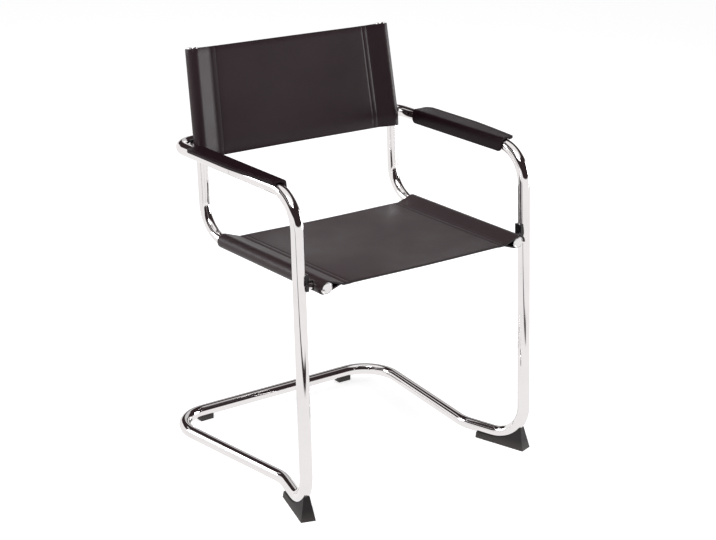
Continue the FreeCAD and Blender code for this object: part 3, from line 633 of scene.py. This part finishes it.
@dataclass
class Sling:
    """A leather panel whose sides are turned round the rails and sewn down.

    Sizes across the rail are insets from its centre line towards the middle of the chair: the seam is where
    the two layers meet, the hem is the lower layer's end, and the rows are sewn between them.
    """

    name: str
    node: str
    slot: str
    stations: list[Station]
    leather: bpy.types.Material
    edge: bpy.types.Material
    thread: bpy.types.Material
    thickness: float = 3.1 * MM
    sleeve_inner: float = 11.6 * MM
    seam: float = 37.0 * MM
    hem: float = 55.0 * MM
    rows: tuple[float, float] = (39.5 * MM, 50.5 * MM)
    groove: float = 0.45 * MM
    groove_reach: float = 0.9 * MM
    row_inset: float = 6.0 * MM
    layer_gap: float = 0.1 * MM
    edge_round: float = 0.6 * MM
    panel_steps: int = 18
    arc_steps: int = 26
    dip: float = 3.0 * MM
    edge_dip: float = 0.3
    flat_length: float = 0.346
    edge_rows: tuple[float, ...] = ()
    cutters: list[tuple[Vector, Vector, float]] = field(default_factory=list)
    blocks: list[tuple[Vector, Vector]] = field(default_factory=list)

    def _outline(self) -> list[tuple[float, float]]:
        """Return the first part of the middle line of the leather: inset from the rail and rise."""
        half = self.thickness / 2
        radius = self.sleeve_inner + half
        lean = math.asin(self.sleeve_inner / self.seam)
        width = self.stations[0].centre.x
        points = [(width + (self.hem - width) * step / self.panel_steps, half)
                  for step in range(self.panel_steps + 1)]
        for row in sorted(self.rows, reverse=True):
            points += [(row + 1.0 * MM, half), (row, half), (row - 1.0 * MM, half)]
        low = (self.seam + 0.5 * MM, half)
        high = (radius * math.sin(lean), radius * math.cos(lean))
        for share in (0.0, 0.2, 0.5, 0.8, 1.0):
            points.append((low[0] + (high[0] - low[0]) * share, low[1] + (high[1] - low[1]) * share))
        return points

    def _section(self, shape: bmesh.types.BMesh) -> list[bmesh.types.BMEdge]:
        """Draw the leather's middle line at the first station.

        Args:
            shape: the bmesh that takes it.

        Returns:
            The line's edges.
        """
        station = self.stations[0]
        inward = Vector((-1.0, 0.0, 0.0))
        outline = self._outline()
        tip = draw_line(shape, [station.centre + inward * inset + station.normal * rise
                                for inset, rise in outline])
        lean = math.asin(self.sleeve_inner / self.seam)
        spun = bmesh.ops.spin(
            shape, geom=[tip], cent=station.centre, axis=inward.cross(station.normal),
            angle=math.pi + 2 * lean, steps=self.arc_steps, use_duplicate=False)
        tip = [item for item in spun["geom_last"] if isinstance(item, bmesh.types.BMVert)][0]
        back = []
        for inset, rise in reversed(outline[self.panel_steps:-1]):
            drop = rise + self.layer_gap if rise <= self.thickness / 2 + 0.01 * MM else rise
            back.append(station.centre + inward * inset - station.normal * drop)
        draw_line(shape, back, tip)
        return list(shape.edges)

    def _stretch(self, shape: bmesh.types.BMesh, edges: list[bmesh.types.BMEdge]) -> None:
        """Draw the section along the rail from station to station.

        Args:
            shape: the bmesh with the section.
            edges: the section's edges.
        """
        for here, there in zip(self.stations, self.stations[1:]):
            move = there.centre - here.centre
            grown = bmesh.ops.extrude_edge_only(shape, edges=edges)["geom"]
            verts = [item for item in grown if isinstance(item, bmesh.types.BMVert)]
            edges = [item for item in grown if isinstance(item, bmesh.types.BMEdge)]
            for vert in verts:
                share = min(1.0, vert.co.x / (here.centre.x - self.hem))
                vert.co += Vector((move.x * share, move.y, move.z))
            turn = here.normal.rotation_difference(there.normal).to_matrix()
            bmesh.ops.rotate(
                shape, verts=verts, cent=Vector((0.0, there.centre.y, there.centre.z)), matrix=turn)

    def _relax(self, obj: bpy.types.Object) -> None:
        """Let the panel dip a little between the rails, less at its free edges.

        Args:
            obj: the sling.
        """
        first, last = self.stations[0].centre, self.stations[-1].centre
        run = last - first
        for vert in obj.data.vertices:
            along = max(0.0, min(1.0, (vert.co - first).dot(run) / run.length_squared))
            width = first.x + run.x * along - self.hem
            across = abs(vert.co.x) / width
            if across >= 1.0:
                continue
            normal = self.stations[0].normal.lerp(self.stations[-1].normal, along)
            vert.co -= normal * self._sag(along, across)

    def _press_rows_paint_groove_shade(self, obj: bpy.types.Object) -> None:
        """Press the sewn rows into the faces and mark them, so that the material paints shade along them and
        along the rows sewn across the ends.

        Args:
            obj: the finished leather.
        """
        # The seam attribute holds painted shade: 1 on the pressed grooves and on the rows sewn across the
        # ends, fading to 0 within about a millimetre.
        mark = obj.data.attributes.new("seam", "FLOAT", "POINT")
        total = sum((b.centre - a.centre).length for a, b in zip(self.stations, self.stations[1:]))
        for vert in obj.data.vertices:
            passed = 0.0
            for here, there in zip(self.stations, self.stations[1:]):
                run = there.centre - here.centre
                along = (vert.co - here.centre).dot(run) / run.length_squared
                if along <= 1.0:
                    break
                passed += run.length
            along = max(0.0, min(1.0, along))
            passed = min(total, passed + along * run.length)
            centre = here.centre.lerp(there.centre, along)
            normal = here.normal.lerp(there.normal, along).normalized()
            inset = centre.x - abs(vert.co.x)
            rise = (vert.co - centre).dot(normal)
            depth = max(0.0, 1.0 - min(abs(inset - row) for row in self.rows) / self.groove_reach)
            if depth > 0.0 and abs(rise) > self.thickness * 0.7:
                vert.co -= normal * math.copysign(self.groove * depth, rise)
            # The rows sewn across the panel's ends get painted shade with no groove pressed under them.
            ends = [min(abs(passed - row), abs(total - passed - row)) for row in self.edge_rows]
            across = max(0.0, 1.0 - min(ends) / (0.8 * MM)) if ends and inset > self.seam else 0.0
            mark.data[vert.index].value = max(depth, across)

    def surface_point(self, share: float, inset: float, face: int) -> tuple[Vector, Vector]:
        """Find a point of the hem's surface.

        Args:
            share: place along the rail, 0 at the first station and 1 at the last.
            inset: distance from the rail.
            face: 1 for the face side, -1 for the side with the hem.

        Returns:
            The point and the direction away from the leather.
        """
        lengths = [(b.centre - a.centre).length for a, b in zip(self.stations, self.stations[1:])]
        rest = share * sum(lengths)
        for here, there, length in zip(self.stations, self.stations[1:], lengths):
            if rest <= length + 1e-9:
                centre = here.centre.lerp(there.centre, rest / length)
                normal = here.normal.lerp(there.normal, rest / length).normalized()
                break
            rest -= length
        rise = self.thickness - self.groove
        return centre - Vector((inset, 0.0, 0.0)) + normal * rise * face, normal * face

    def _sew_across(self, shape: bmesh.types.BMesh, stitching: Stitching, share: float) -> None:
        """Sew a row over the panel from hem to hem, on both faces.

        Args:
            shape: the bmesh that takes the stitches.
            stitching: the kind of stitches.
            share: place along the rail.
        """
        for face in (1, -1):
            side, normal = self.surface_point(share, self.hem, face)
            width = side.x
            rise = 0.0 if face == 1 else self.thickness
            steps = 24
            spots = []
            for number in range(steps + 1):
                across = 1 - 2 * number / steps
                drop = self._sag(share, abs(across))
                spots.append(Vector((width * across, side.y, side.z)) + normal * (self.groove * 0.6)
                             - normal * face * drop + normal * rise)
            for start, end in zip(spots, spots[1:]):
                stitching.sew(shape, start, end, normal)

    def _sag(self, along: float, across: float) -> float:
        """Return how deep the panel dips at a place along the rail and across the panel."""
        depth = self.dip * (self.edge_dip + (1 - self.edge_dip) * math.sin(math.pi * along) ** 0.7)
        return depth * math.cos(min(1.0, across) * math.pi / 2) ** 1.5

    def _threads(self) -> bpy.types.Object:
        """Sew both rows on both faces and both sides, closed across at their ends.

        Returns:
            The thread as one piece.
        """
        shape = bmesh.new()
        stitching = Stitching()
        total = sum((b.centre - a.centre).length for a, b in zip(self.stations, self.stations[1:]))
        shares = [self.row_inset / total]
        passed = 0.0
        for a, b in zip(self.stations[:-1], self.stations[1:]):
            passed += (b.centre - a.centre).length
            if passed - shares[-1] * total > self.row_inset * 2 and passed < total - self.row_inset * 2:
                shares.append(passed / total)
        shares.append(1 - self.row_inset / total)
        for face in (1, -1):
            for row in self.rows:
                for low, high in zip(shares, shares[1:]):
                    start, normal = self.surface_point(low, row, face)
                    end, _ = self.surface_point(high, row, face)
                    stitching.sew(shape, start, end, normal)
            for share in (shares[0], shares[-1]):
                start, normal = self.surface_point(share, self.rows[0], face)
                end, _ = self.surface_point(share, self.rows[1], face)
                stitching.sew(shape, start, end, normal)
        bmesh.ops.mirror(shape, geom=list(shape.verts) + list(shape.edges) + list(shape.faces), axis="X")
        for inset in self.edge_rows:
            for share in (inset / total, 1 - inset / total):
                self._sew_across(shape, stitching, share)
        thread = stitching.piece(self.name + "_stitches", shape, self.thread)
        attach(thread, ROOT)
        return thread

    def build(self) -> list[bpy.types.Object]:
        """Build the leather and its stitching, and let the leather replace its solid.

        Returns:
            The new pieces.
        """
        shape = bmesh.new()
        self._stretch(shape, self._section(shape))
        bmesh.ops.mirror(
            shape, geom=list(shape.verts) + list(shape.edges) + list(shape.faces), axis="X",
            merge_dist=1e-5)
        bmesh.ops.remove_doubles(shape, verts=shape.verts, dist=1e-6)
        bmesh.ops.recalc_face_normals(shape, faces=shape.faces)
        obj = mesh_object(self.name, shape)
        self._relax(obj)
        obj.data.materials.append(self.leather)
        obj.data.materials.append(self.edge)
        solid = obj.modifiers.new("thickness", "SOLIDIFY")
        solid.thickness = self.thickness
        solid.offset = 0.0
        solid.use_even_offset = True
        solid.use_quality_normals = True
        solid.material_offset_rim = 1
        bake_modifiers(obj)
        tools = []
        for number, (start, end, radius) in enumerate(self.cutters):
            for side in Side:
                flip = Vector((side.value, 1, 1))
                tools.append(drill("notch_%d" % number, start * flip, end * flip, radius))
        for low, high in self.blocks:
            for side in Side:
                block = bmesh.new()
                middle = (low + high) / 2 * Vector((side.value, 1, 1))
                bmesh.ops.create_cube(
                    block, size=1.0,
                    matrix=Matrix.Translation(middle) @ Matrix.Diagonal((*(high - low), 1.0)))
                tools.append(mesh_object("trim", block))
        carve(obj, tools)
        soften_edges(obj, self.edge_round, 2, 50)
        self._press_rows_paint_groove_shade(obj)
        smooth_shade(obj, 40)
        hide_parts(self.node)
        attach(obj, ROOT)
        return [obj, self._threads()]


@dataclass
class ArmPad:
    """Leather pad over the top and the inner side of one arm.

    The wing stands out to the side and narrows to the front, the skirt hangs on the inner side, and the
    shoulder between skirt and top is given by its points, inward from the outer face and down from the top.
    """

    side: Side
    leather: bpy.types.Material
    thread: bpy.types.Material
    arm_x: float = 0.276
    arm_z: float = 0.634
    tube: float = 12.8 * MM
    outer: float = 16.3 * MM
    wing: float = 30.0 * MM
    front_wing: float = 16.0 * MM
    front_y: float = -0.162
    rear_y: float = 0.120
    edge: float = 5.5 * MM
    corner: float = 16.0 * MM
    skirt_corner: float = 8.5 * MM
    skirt: float = 12.5 * MM
    least_skirt: float = 3.0 * MM
    crown: float = 0.6 * MM
    shoulder: tuple[tuple[float, float], ...] = (
        (0.0, 13.3 * MM), (1.0 * MM, 5.0 * MM), (2.4 * MM, 1.9 * MM), (4.2 * MM, 0.5 * MM), (7.0 * MM, 0.0))
    top_steps: int = 7
    wing_steps: int = 5
    wrap_start: float = 50.0
    wrap_steps: int = 12
    sewn_inset: float = 5.5 * MM
    steps: int = 56

    def _profile(self) -> list[tuple[float, float]]:
        """Return the pad's outline across the arm, outward and up from the tube's centre line."""
        tube, outer, wing = self.tube, self.outer, self.wing
        top = outer + self.crown
        points = [(-tube + 0.3 * MM, -self.skirt), (-outer + 0.6 * MM, -self.skirt), (-outer, -4 * MM)]
        points += [(-outer + inward, outer - below) for inward, below in self.shoulder]
        first = -outer + self.shoulder[-1][0]
        for step in range(1, self.top_steps + 1):
            share = step / self.top_steps
            points.append((first + (wing - first) * share, outer + self.crown * share))
        start = math.radians(self.wrap_start)
        foot = (tube * math.cos(start), tube * math.sin(start))
        for step in range(self.wing_steps):
            share = step / self.wing_steps
            edge = top - self.edge
            points.append((wing + (foot[0] - wing) * share, edge + (foot[1] - edge) * share))
        for step in range(self.wrap_steps + 1):
            angle = start + (math.pi - start) * step / self.wrap_steps
            points.append((tube * math.cos(angle), tube * math.sin(angle)))
        return points

    def _reach(self, depth: float) -> float:
        """Return how far the wing stands out at a place along the arm."""
        middle = self.front_y + (self.rear_y - self.front_y) * 0.5
        reach = self.wing
        if depth < middle:
            share = (middle - depth) / (middle - self.front_y)
            reach = self.wing - (self.wing - self.front_wing) * share ** 1.4
        rest = self.rear_y - depth
        if rest < self.corner:
            reach -= self.corner - math.sqrt(max(0.0, self.corner ** 2 - (self.corner - rest) ** 2))
        return reach

    def _skirt(self, depth: float) -> float:
        """Return how far the inner skirt hangs at a place along the arm; its lower corners are round."""
        reach = self.skirt
        for rest in (depth - self.front_y, self.rear_y - depth):
            if rest < self.skirt_corner:
                lift = self.skirt_corner - max(0.0, rest)
                reach -= self.skirt_corner - math.sqrt(self.skirt_corner ** 2 - lift ** 2)
        return max(self.least_skirt, reach)

    def build(self) -> list[bpy.types.Object]:
        """Build the pad with its stitches, and let it replace its solid.

        Returns:
            The new pieces.
        """
        shape = bmesh.new()
        sign = self.side.value
        tip = draw_line(shape, [Vector((self.arm_x + across, self.front_y, self.arm_z + rise))
                                for across, rise in self._profile()])
        shape.verts.ensure_lookup_table()
        bmesh.ops.contextual_create(shape, geom=[tip, shape.verts[0]])
        bmesh.ops.contextual_create(shape, geom=list(shape.edges))
        faces = list(shape.faces)
        length = self.rear_y - self.front_y
        depths = [self.front_y + length * (1 - math.cos(math.pi * n / self.steps)) / 2
                  for n in range(self.steps + 1)]
        for here, there in zip(depths, depths[1:]):
            grown = bmesh.ops.extrude_face_region(shape, geom=faces)["geom"]
            verts = [item for item in grown if isinstance(item, bmesh.types.BMVert)]
            bmesh.ops.translate(shape, verts=verts, vec=(0.0, there - here, 0.0))
            bmesh.ops.delete(shape, geom=[f for f in faces if here > self.front_y], context="FACES_ONLY")
            faces = [item for item in grown if isinstance(item, bmesh.types.BMFace)]
        root = self.tube * 0.6
        for vert in shape.verts:
            outward = vert.co.x - self.arm_x
            if outward > root:
                share = (self._reach(vert.co.y) - root) / (self.wing - root)
                vert.co.x = self.arm_x + root + (outward - root) * share
            drop = self.arm_z - vert.co.z
            if outward < 0.0 and drop > 0.0:
                vert.co.z = self.arm_z - min(drop, self._skirt(vert.co.y))
        bmesh.ops.scale(shape, verts=shape.verts, vec=(sign, 1.0, 1.0))
        bmesh.ops.recalc_face_normals(shape, faces=shape.faces)
        obj = mesh_object("arm_pad_leather_" + self.side.word, shape)
        obj.data.materials.append(self.leather)
        soften_edges(obj, 1.0 * MM, 3, 40)
        smooth_shade(obj, 45)
        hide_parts("arm_pad_" + self.side.word)
        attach(obj, ROOT)
        return [obj, self._threads(depths)]

    def _threads(self, depths: list[float]) -> bpy.types.Object:
        """Sew the wing's edge.

        Args:
            depths: places along the arm.

        Returns:
            The thread.
        """
        shape = bmesh.new()
        stitching = Stitching(pitch=4.4 * MM, length=3.4 * MM)
        marks = [d for d in depths if self.front_y + 5 * MM < d < self.rear_y - 8 * MM]
        up = Vector((0.0, 0.0, 1.0))
        line = [Vector((self.arm_x + self._reach(d) - self.sewn_inset, d, self.arm_z + self.outer + 0.45 * MM))
                for d in marks]
        passed = line[0]
        for point in line[1:]:
            if (point - passed).length >= stitching.pitch * 0.98:
                stitching.sew(shape, passed, point, up)
                passed = point
        bmesh.ops.scale(shape, verts=shape.verts, vec=(self.side.value, 1.0, 1.0))
        thread = stitching.piece("arm_pad_stitches_" + self.side.word, shape, self.thread)
        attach(thread, ROOT)
        return thread


@dataclass
class RailCap:
    """A chromed cap with a rolled rim and a slightly domed face in the end of a rail.

    The rolled outline is given in shares of the cap's radius and of its dome's rise.
    """

    side: Side
    node: str
    face: Vector
    outward: Vector
    chrome: bpy.types.Material
    radius: float = 12.25 * MM
    disc: float = 2.5 * MM
    dome: float = 0.8 * MM
    plug: float = 8.9 * MM
    plug_length: float = 14.0 * MM
    rolled: tuple[tuple[float, float], ...] = (
        (0.0, 0.0), (0.45, 0.03), (0.76, 0.10), (0.80, 0.45), (0.84, 0.12), (0.93, 0.35), (0.98, 0.9),
        (1.0, 1.7))

    def build(self) -> bpy.types.Object:
        """Turn the cap about its axis and let it replace its solid.

        Returns:
            The cap.
        """
        shape = bmesh.new()
        end = -self.disc - self.plug_length
        outline = [(self.radius * across, -self.dome * below) for across, below in self.rolled]
        outline += [(self.radius, -self.disc), (self.plug, -self.disc), (self.plug, end), (0.0, end)]
        draw_line(shape, [Vector((across, 0.0, rise)) for across, rise in outline])
        bmesh.ops.spin(shape, geom=list(shape.verts) + list(shape.edges), cent=(0.0, 0.0, 0.0),
                       axis=(0.0, 0.0, 1.0), angle=2 * math.pi, steps=48, use_merge=True)
        bmesh.ops.remove_doubles(shape, verts=shape.verts, dist=1e-6)
        bmesh.ops.recalc_face_normals(shape, faces=shape.faces)
        flip = Vector((self.side.value, 1.0, 1.0))
        turn = (self.outward * flip).to_track_quat("Z", "Y").to_matrix().to_4x4()
        bmesh.ops.transform(shape, verts=shape.verts, matrix=Matrix.Translation(self.face * flip) @ turn)
        cap = mesh_object(self.node + "_turned_" + self.side.word, shape)
        cap.data.materials.append(self.chrome)
        smooth_shade(cap, 50)
        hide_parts(self.node + "_" + self.side.word)
        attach(cap, ROOT)
        return cap


@dataclass
class Metalwork:
    """The carried-over metal, rubber and plastic pieces and their finishes."""

    finishes: Finishes
    tubes: tuple[str, ...] = ("main_frame", "arm_loop", "side_rail")
    plated: tuple[str, ...] = ("rail_cap", "top_cap", "spacer")
    rubber: tuple[str, ...] = ("front_foot", "rear_glide")

    def _finish_of(self, node: str) -> bpy.types.Material:
        """Choose the finish of a node by its name."""
        if node.startswith(self.tubes):
            return self.finishes.chrome
        if any(word in node for word in self.plated):
            return self.finishes.cap_chrome
        if node.startswith(self.rubber):
            return self.finishes.rubber
        if "saddle" in node:
            return self.finishes.saddle
        return self.finishes.steel

    def dress(self, nodes: dict[str, bpy.types.Object]) -> int:
        """Give each carried-over node its finish and smooth shading.

        Args:
            nodes: the nodes by name.

        Returns:
            How many nodes were dressed.
        """
        for name, obj in nodes.items():
            finish = self._finish_of(name)
            if not obj.data.materials:
                obj.data.materials.append(finish)
            for place in range(len(obj.data.materials)):
                obj.data.materials[place] = finish
            weld = obj.modifiers.new("joined_facets", "WELD")
            weld.merge_threshold = 0.002 * MM
            obj.data.polygons.foreach_set("use_smooth", [True] * len(obj.data.polygons))
            split = obj.modifiers.new("crisp_corners", "EDGE_SPLIT")
            split.split_angle = math.radians(30)
        return len(nodes)


@dataclass(frozen=True)
class Viewpoint:
    """The photograph's camera, in metres and degrees."""

    place: Vector = Vector((-1.9733, -2.6298, 1.5328))
    yaw: float = 37.3
    pitch: float = 19.38
    roll: float = 0.91
    focal: float = 1713.2
    width: int = 716

    def build(self) -> bpy.types.Object:
        """Create the camera and make it the scene's.

        Returns:
            The camera.
        """
        yaw, pitch, roll = (math.radians(v) for v in (self.yaw, self.pitch, self.roll))
        ahead = Vector((math.sin(yaw) * math.cos(pitch), math.cos(yaw) * math.cos(pitch), -math.sin(pitch)))
        level = Vector((math.cos(yaw), -math.sin(yaw), 0.0))
        upward = level.cross(ahead)
        right = level * math.cos(roll) + upward * math.sin(roll)
        top = upward * math.cos(roll) - level * math.sin(roll)
        data = bpy.data.cameras.new("photo_camera")
        data.sensor_fit = "HORIZONTAL"
        data.sensor_width = 36.0
        data.lens = self.focal / self.width * 36.0
        data.clip_end = 100.0
        camera = bpy.data.objects.new("photo_camera", data)
        bpy.context.scene.collection.objects.link(camera)
        turn = Matrix((right, top, -ahead)).transposed().to_4x4()
        camera.matrix_world = Matrix.Translation(self.place) @ turn
        bpy.context.scene.camera = camera
        return camera


@dataclass(frozen=True)
class Lamp:
    """One soft rectangular lamp."""

    name: str
    place: tuple[float, float, float]
    size: tuple[float, float]
    power: float
    aim: tuple[float, float, float] = (0.0, 0.0, 0.45)

    def build(self) -> bpy.types.Object:
        """Create the lamp.

        Returns:
            The lamp.
        """
        data = bpy.data.lights.new(self.name, "AREA")
        data.shape = "RECTANGLE"
        data.size, data.size_y = self.size
        data.energy = self.power
        lamp = bpy.data.objects.new(self.name, data)
        bpy.context.scene.collection.objects.link(lamp)
        away = Vector(self.place) - Vector(self.aim)
        lamp.matrix_world = Matrix.Translation(self.place) @ away.to_track_quat("Z", "Y").to_matrix().to_4x4()
        return lamp


@dataclass
class Studio:
    """White floor, soft lamps and the surroundings that the chrome mirrors.

    Metal sees a dark board on the floor in front of the chair (board_y, board_x), and a dark room whose lower
    rim, ceiling and lit gap are heights of the mirrored direction, 0 at the horizon and 1 overhead.
    """

    floor_size: float = 30.0
    white: tuple[float, float, float] = (0.97, 0.955, 0.95)
    dark: tuple[float, float, float] = (0.035, 0.024, 0.025)
    floor_glow: float = 0.55
    board_y: tuple[float, float] = (-1.36, -1.085)
    board_x: float = 0.3
    sky: tuple[float, float, float] = (0.5, 0.5, 0.5)
    rear_rim: float = 0.13
    window_rim: float = 0.17
    ceiling: tuple[float, float] = (0.82, 0.88)
    gap: tuple[float, float] = (0.585, 0.65)
    gap_blur: float = 0.015
    lamps: tuple[Lamp, ...] = (
        Lamp("soft_left", (-2.2, 1.9, 1.5), (1.0, 1.2), 26.0),
        Lamp("soft_right", (2.7, -0.9, 0.75), (1.3, 1.3), 34.0, aim=(0.0, 0.0, 0.55)),
        Lamp("soft_top", (-1.0, -1.1, 3.0), (1.3, 1.3), 44.0),
        Lamp("soft_rear", (1.9, 2.4, 1.55), (1.6, 1.0), 3.0),
    )

    def _floor(self) -> None:
        """Lay a plain white floor that keeps a faint shadow; metal mirrors it with a dark board in front."""
        shape = bmesh.new()
        bmesh.ops.create_grid(shape, x_segments=1, y_segments=1, size=self.floor_size / 2)
        floor = mesh_object("studio_floor", shape)
        material = bpy.data.materials.new("studio_floor_white")
        material.use_nodes = True
        w = Wiring(material.node_tree)
        surface = material.node_tree.nodes["Principled BSDF"]
        surface.inputs["Base Color"].default_value = (0.8, 0.8, 0.8, 1.0)
        surface.inputs["Roughness"].default_value = 0.9
        surface.inputs["Specular IOR Level"].default_value = 0.0
        path = w.add("ShaderNodeLightPath")
        glow = w.add("ShaderNodeEmission", Color=(1.0, 1.0, 1.0, 1.0))
        seen = w.maths("MULTIPLY", path.outputs["Is Camera Ray"], self.floor_glow)
        w.join(seen, glow.inputs["Strength"])
        both = w.add("ShaderNodeAddShader")
        w.join(surface.outputs[0], both.inputs[0])
        w.join(glow.outputs[0], both.inputs[1])
        place = w.add("ShaderNodeTexCoord")
        split = w.add("ShaderNodeSeparateXYZ")
        w.join(place.outputs["Object"], split.inputs[0])
        far_edge, near_edge = self.board_y
        near = w.ramp(split.outputs["Y"], near_edge - 0.035, near_edge + 0.035, 0.0, 1.0)
        far = w.ramp(split.outputs["Y"], far_edge - 0.06, far_edge + 0.06, 1.0, 0.0)
        aside = w.ramp(split.outputs["X"], self.board_x - 0.1, self.board_x + 0.1, 0.0, 1.0)
        bright = w.maths("MAXIMUM", w.maths("MAXIMUM", near, far), aside)
        paper = w.add("ShaderNodeEmission")
        w.join(Finish.tint(w, bright, self.dark, self.white), paper.inputs["Color"])
        choice = w.add("ShaderNodeMixShader")
        w.join(path.outputs["Is Glossy Ray"], choice.inputs[0])
        w.join(both.outputs[0], choice.inputs[1])
        w.join(paper.outputs[0], choice.inputs[2])
        output = material.node_tree.nodes["Material Output"]
        w.join(choice.outputs[0], output.inputs["Surface"])
        floor.data.materials.append(material)

    def _surroundings(self) -> None:
        """Light the scene softly, white to the camera and dark on the camera's side where metal mirrors it."""
        world = bpy.data.worlds.new("studio_surroundings")
        bpy.context.scene.world = world
        world.use_nodes = True
        w = Wiring(world.node_tree)
        background = world.node_tree.nodes["Background"]
        place = w.add("ShaderNodeTexCoord")
        split = w.add("ShaderNodeSeparateXYZ")
        w.join(place.outputs["Generated"], split.inputs[0])
        across, along, height = split.outputs
        behind = w.ramp(along, 0.1, 0.4, 0.0, 1.0)
        leftward = w.maths("ADD", w.maths("MULTIPLY", across, -0.85), w.maths("MULTIPLY", along, 0.5))
        window = w.ramp(leftward, 0.35, 0.55, 0.0, 1.0)
        rim = w.maths("ADD", w.maths("MULTIPLY", behind, self.rear_rim),
                      w.maths("MULTIPLY", window, self.window_rim))
        above = w.ramp(w.maths("SUBTRACT", height, rim), 0.03, 0.08, 0.0, 1.0)
        below = w.ramp(height, *self.ceiling, 1.0, 0.0)
        low, high = self.gap
        strip = w.maths("MULTIPLY", w.ramp(height, low, low + self.gap_blur, 0.0, 1.0),
                        w.ramp(height, high - self.gap_blur, high, 1.0, 0.0))
        unlit = w.maths("SUBTRACT", 1.0, w.maths("MULTIPLY", strip, window))
        shade = w.maths("MULTIPLY", w.maths("MULTIPLY", above, below), unlit)
        tone = Finish.tint(w, shade, self.white, self.dark)
        path = w.add("ShaderNodeLightPath")
        mirrored = w.add("ShaderNodeMix", data_type="RGBA")
        w.join(path.outputs["Is Glossy Ray"], mirrored.inputs["Factor"])
        mirrored.inputs[6].default_value = (*self.sky, 1.0)
        w.join(tone, mirrored.inputs[7])
        seen = w.add("ShaderNodeMix", data_type="RGBA")
        w.join(path.outputs["Is Camera Ray"], seen.inputs["Factor"])
        w.join(mirrored.outputs[2], seen.inputs[6])
        seen.inputs[7].default_value = (1.0, 1.0, 1.0, 1.0)
        w.join(seen.outputs[2], background.inputs["Color"])
        background.inputs["Strength"].default_value = 1.0

    def build(self) -> None:
        """Build floor, surroundings, lamps and camera."""
        self._floor()
        self._surroundings()
        for lamp in self.lamps:
            lamp.build()
        Viewpoint().build()
        bpy.context.scene.view_settings.view_transform = "Standard"


@dataclass
class Armchair:
    """The whole chair, dressed over its solids."""

    rail_front: Vector = Vector((0.235, -0.256, 0.4614))
    seat_corner: Vector = Vector((0.2385, 0.1515, 0.4593))
    lumbar: Vector = Vector((0.2385, 0.1646, 0.6309))
    rail_top: Vector = Vector((0.232, 0.2033, 0.8258))
    seat_front_y: float = -0.258
    seat_rear_y: float = 0.088
    seat_row: float = 5.5 * MM
    back_bottom_z: float = 0.611
    cap: float = 2.5 * MM

    def _on_rail(self, depth: float) -> Vector:
        """Return the seat rail's centre at a place along the chair."""
        share = (depth - self.rail_front.y) / (self.seat_corner.y - self.rail_front.y)
        return self.rail_front.lerp(self.seat_corner, share)

    def _seat(self, finishes: Finishes) -> Sling:
        """Describe the seat's leather."""
        run = (self.seat_corner - self.rail_front)
        normal = Vector((0.0, -run.z, run.y)).normalized()
        count = 26
        length = self.seat_rear_y - self.seat_front_y
        depths = [self.seat_front_y + length * number / count for number in range(count + 1)]
        row = self.seat_row
        for inset in (row - 0.8 * MM, row, row + 0.8 * MM):
            depths += [self.seat_front_y + inset, self.seat_rear_y - inset]
        depths.sort()
        bolt = self._on_rail(-0.2255)
        return Sling(
            name="seat_leather", node="seat_sling", slot="seat_leather",
            stations=[Station(self._on_rail(depth), normal) for depth in depths],
            leather=finishes.seat_leather, edge=finishes.cut_edge, thread=finishes.thread,
            dip=4.0 * MM, edge_dip=0.25, flat_length=length, edge_rows=(row,),
            cutters=[(bolt + Vector((6 * MM, 0, 0)), bolt + Vector((26 * MM, 0, 0)), 9.5 * MM)],
            blocks=[(Vector((0.1795, -0.260, 0.43)), Vector((0.262, -0.247, 0.4608)))],
        )

    def _back(self, finishes: Finishes) -> Sling:
        """Describe the back's leather."""
        lower = self.lumbar - self.seat_corner
        upper = self.rail_top - self.lumbar
        upper.normalize()
        low_normal = Vector((0.0, -lower.z, lower.y)).normalized()
        high_normal = Vector((0.0, -upper.z, upper.y)).normalized()
        bottom = self.seat_corner.lerp(
            self.lumbar, (self.back_bottom_z - self.seat_corner.z) / (self.lumbar.z - self.seat_corner.z))
        top = self.rail_top - upper * self.cap
        stations = [Station(bottom, low_normal)]
        for offset in (-9, -3, 3, 9):
            run = lower.normalized() if offset < 0 else upper
            share = (offset + 12) / 24
            normal = low_normal.lerp(high_normal, share).normalized()
            stations.append(Station(self.lumbar + run * offset * MM, normal))
        start = stations[-1].centre
        for number in range(1, 15):
            stations.append(Station(start.lerp(top, number / 14), high_normal))
        bolt = Vector((self.lumbar.x, self.lumbar.y, 0.634))
        return Sling(
            name="back_leather", node="back_sling", slot="back_leather", stations=stations,
            leather=finishes.back_leather, edge=finishes.cut_edge, thread=finishes.thread,
            dip=3.0 * MM, edge_dip=0.5, flat_length=0.2145,
            cutters=[(bolt + Vector((0, 6 * MM, 0)), bolt + Vector((0, 26 * MM, 0)), 11 * MM)],
        )

    def build(self) -> None:
        """Build the soft pieces, dress the carried-over nodes and report each piece."""
        finishes = Finishes.build()
        pieces: list[bpy.types.Object] = []
        for part in (self._seat(finishes), self._back(finishes)):
            pieces += part.build()
        for side in Side:
            pieces += ArmPad(side, finishes.pad_leather, finishes.thread).build()
            forward = (self.rail_front - self.seat_corner).normalized()
            upward = (self.rail_top - self.lumbar).normalized()
            chrome = finishes.cap_chrome
            pieces.append(RailCap(side, "rail_cap", self.rail_front, forward, chrome).build())
            pieces.append(RailCap(side, "top_cap", self.rail_top, upward, chrome, radius=11.0 * MM).build())
        remade = ("seat_sling", "back_sling", "arm_pad", "rail_cap", "top_cap")
        rigid = {name: obj for name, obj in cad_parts.items() if not name.startswith(remade)}
        count = Metalwork(finishes).dress(rigid)
        for piece in pieces:
            log.info("%s: %d faces", piece.name, len(piece.data.polygons))
        log.info("%d carried-over nodes dressed", count)


def main() -> None:
    """Build the chair and the studio."""
    logging.basicConfig(level=logging.INFO, format="%(message)s")
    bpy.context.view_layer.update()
    Armchair().build()
    Studio().build()


if __name__ == "__main__":
    main()
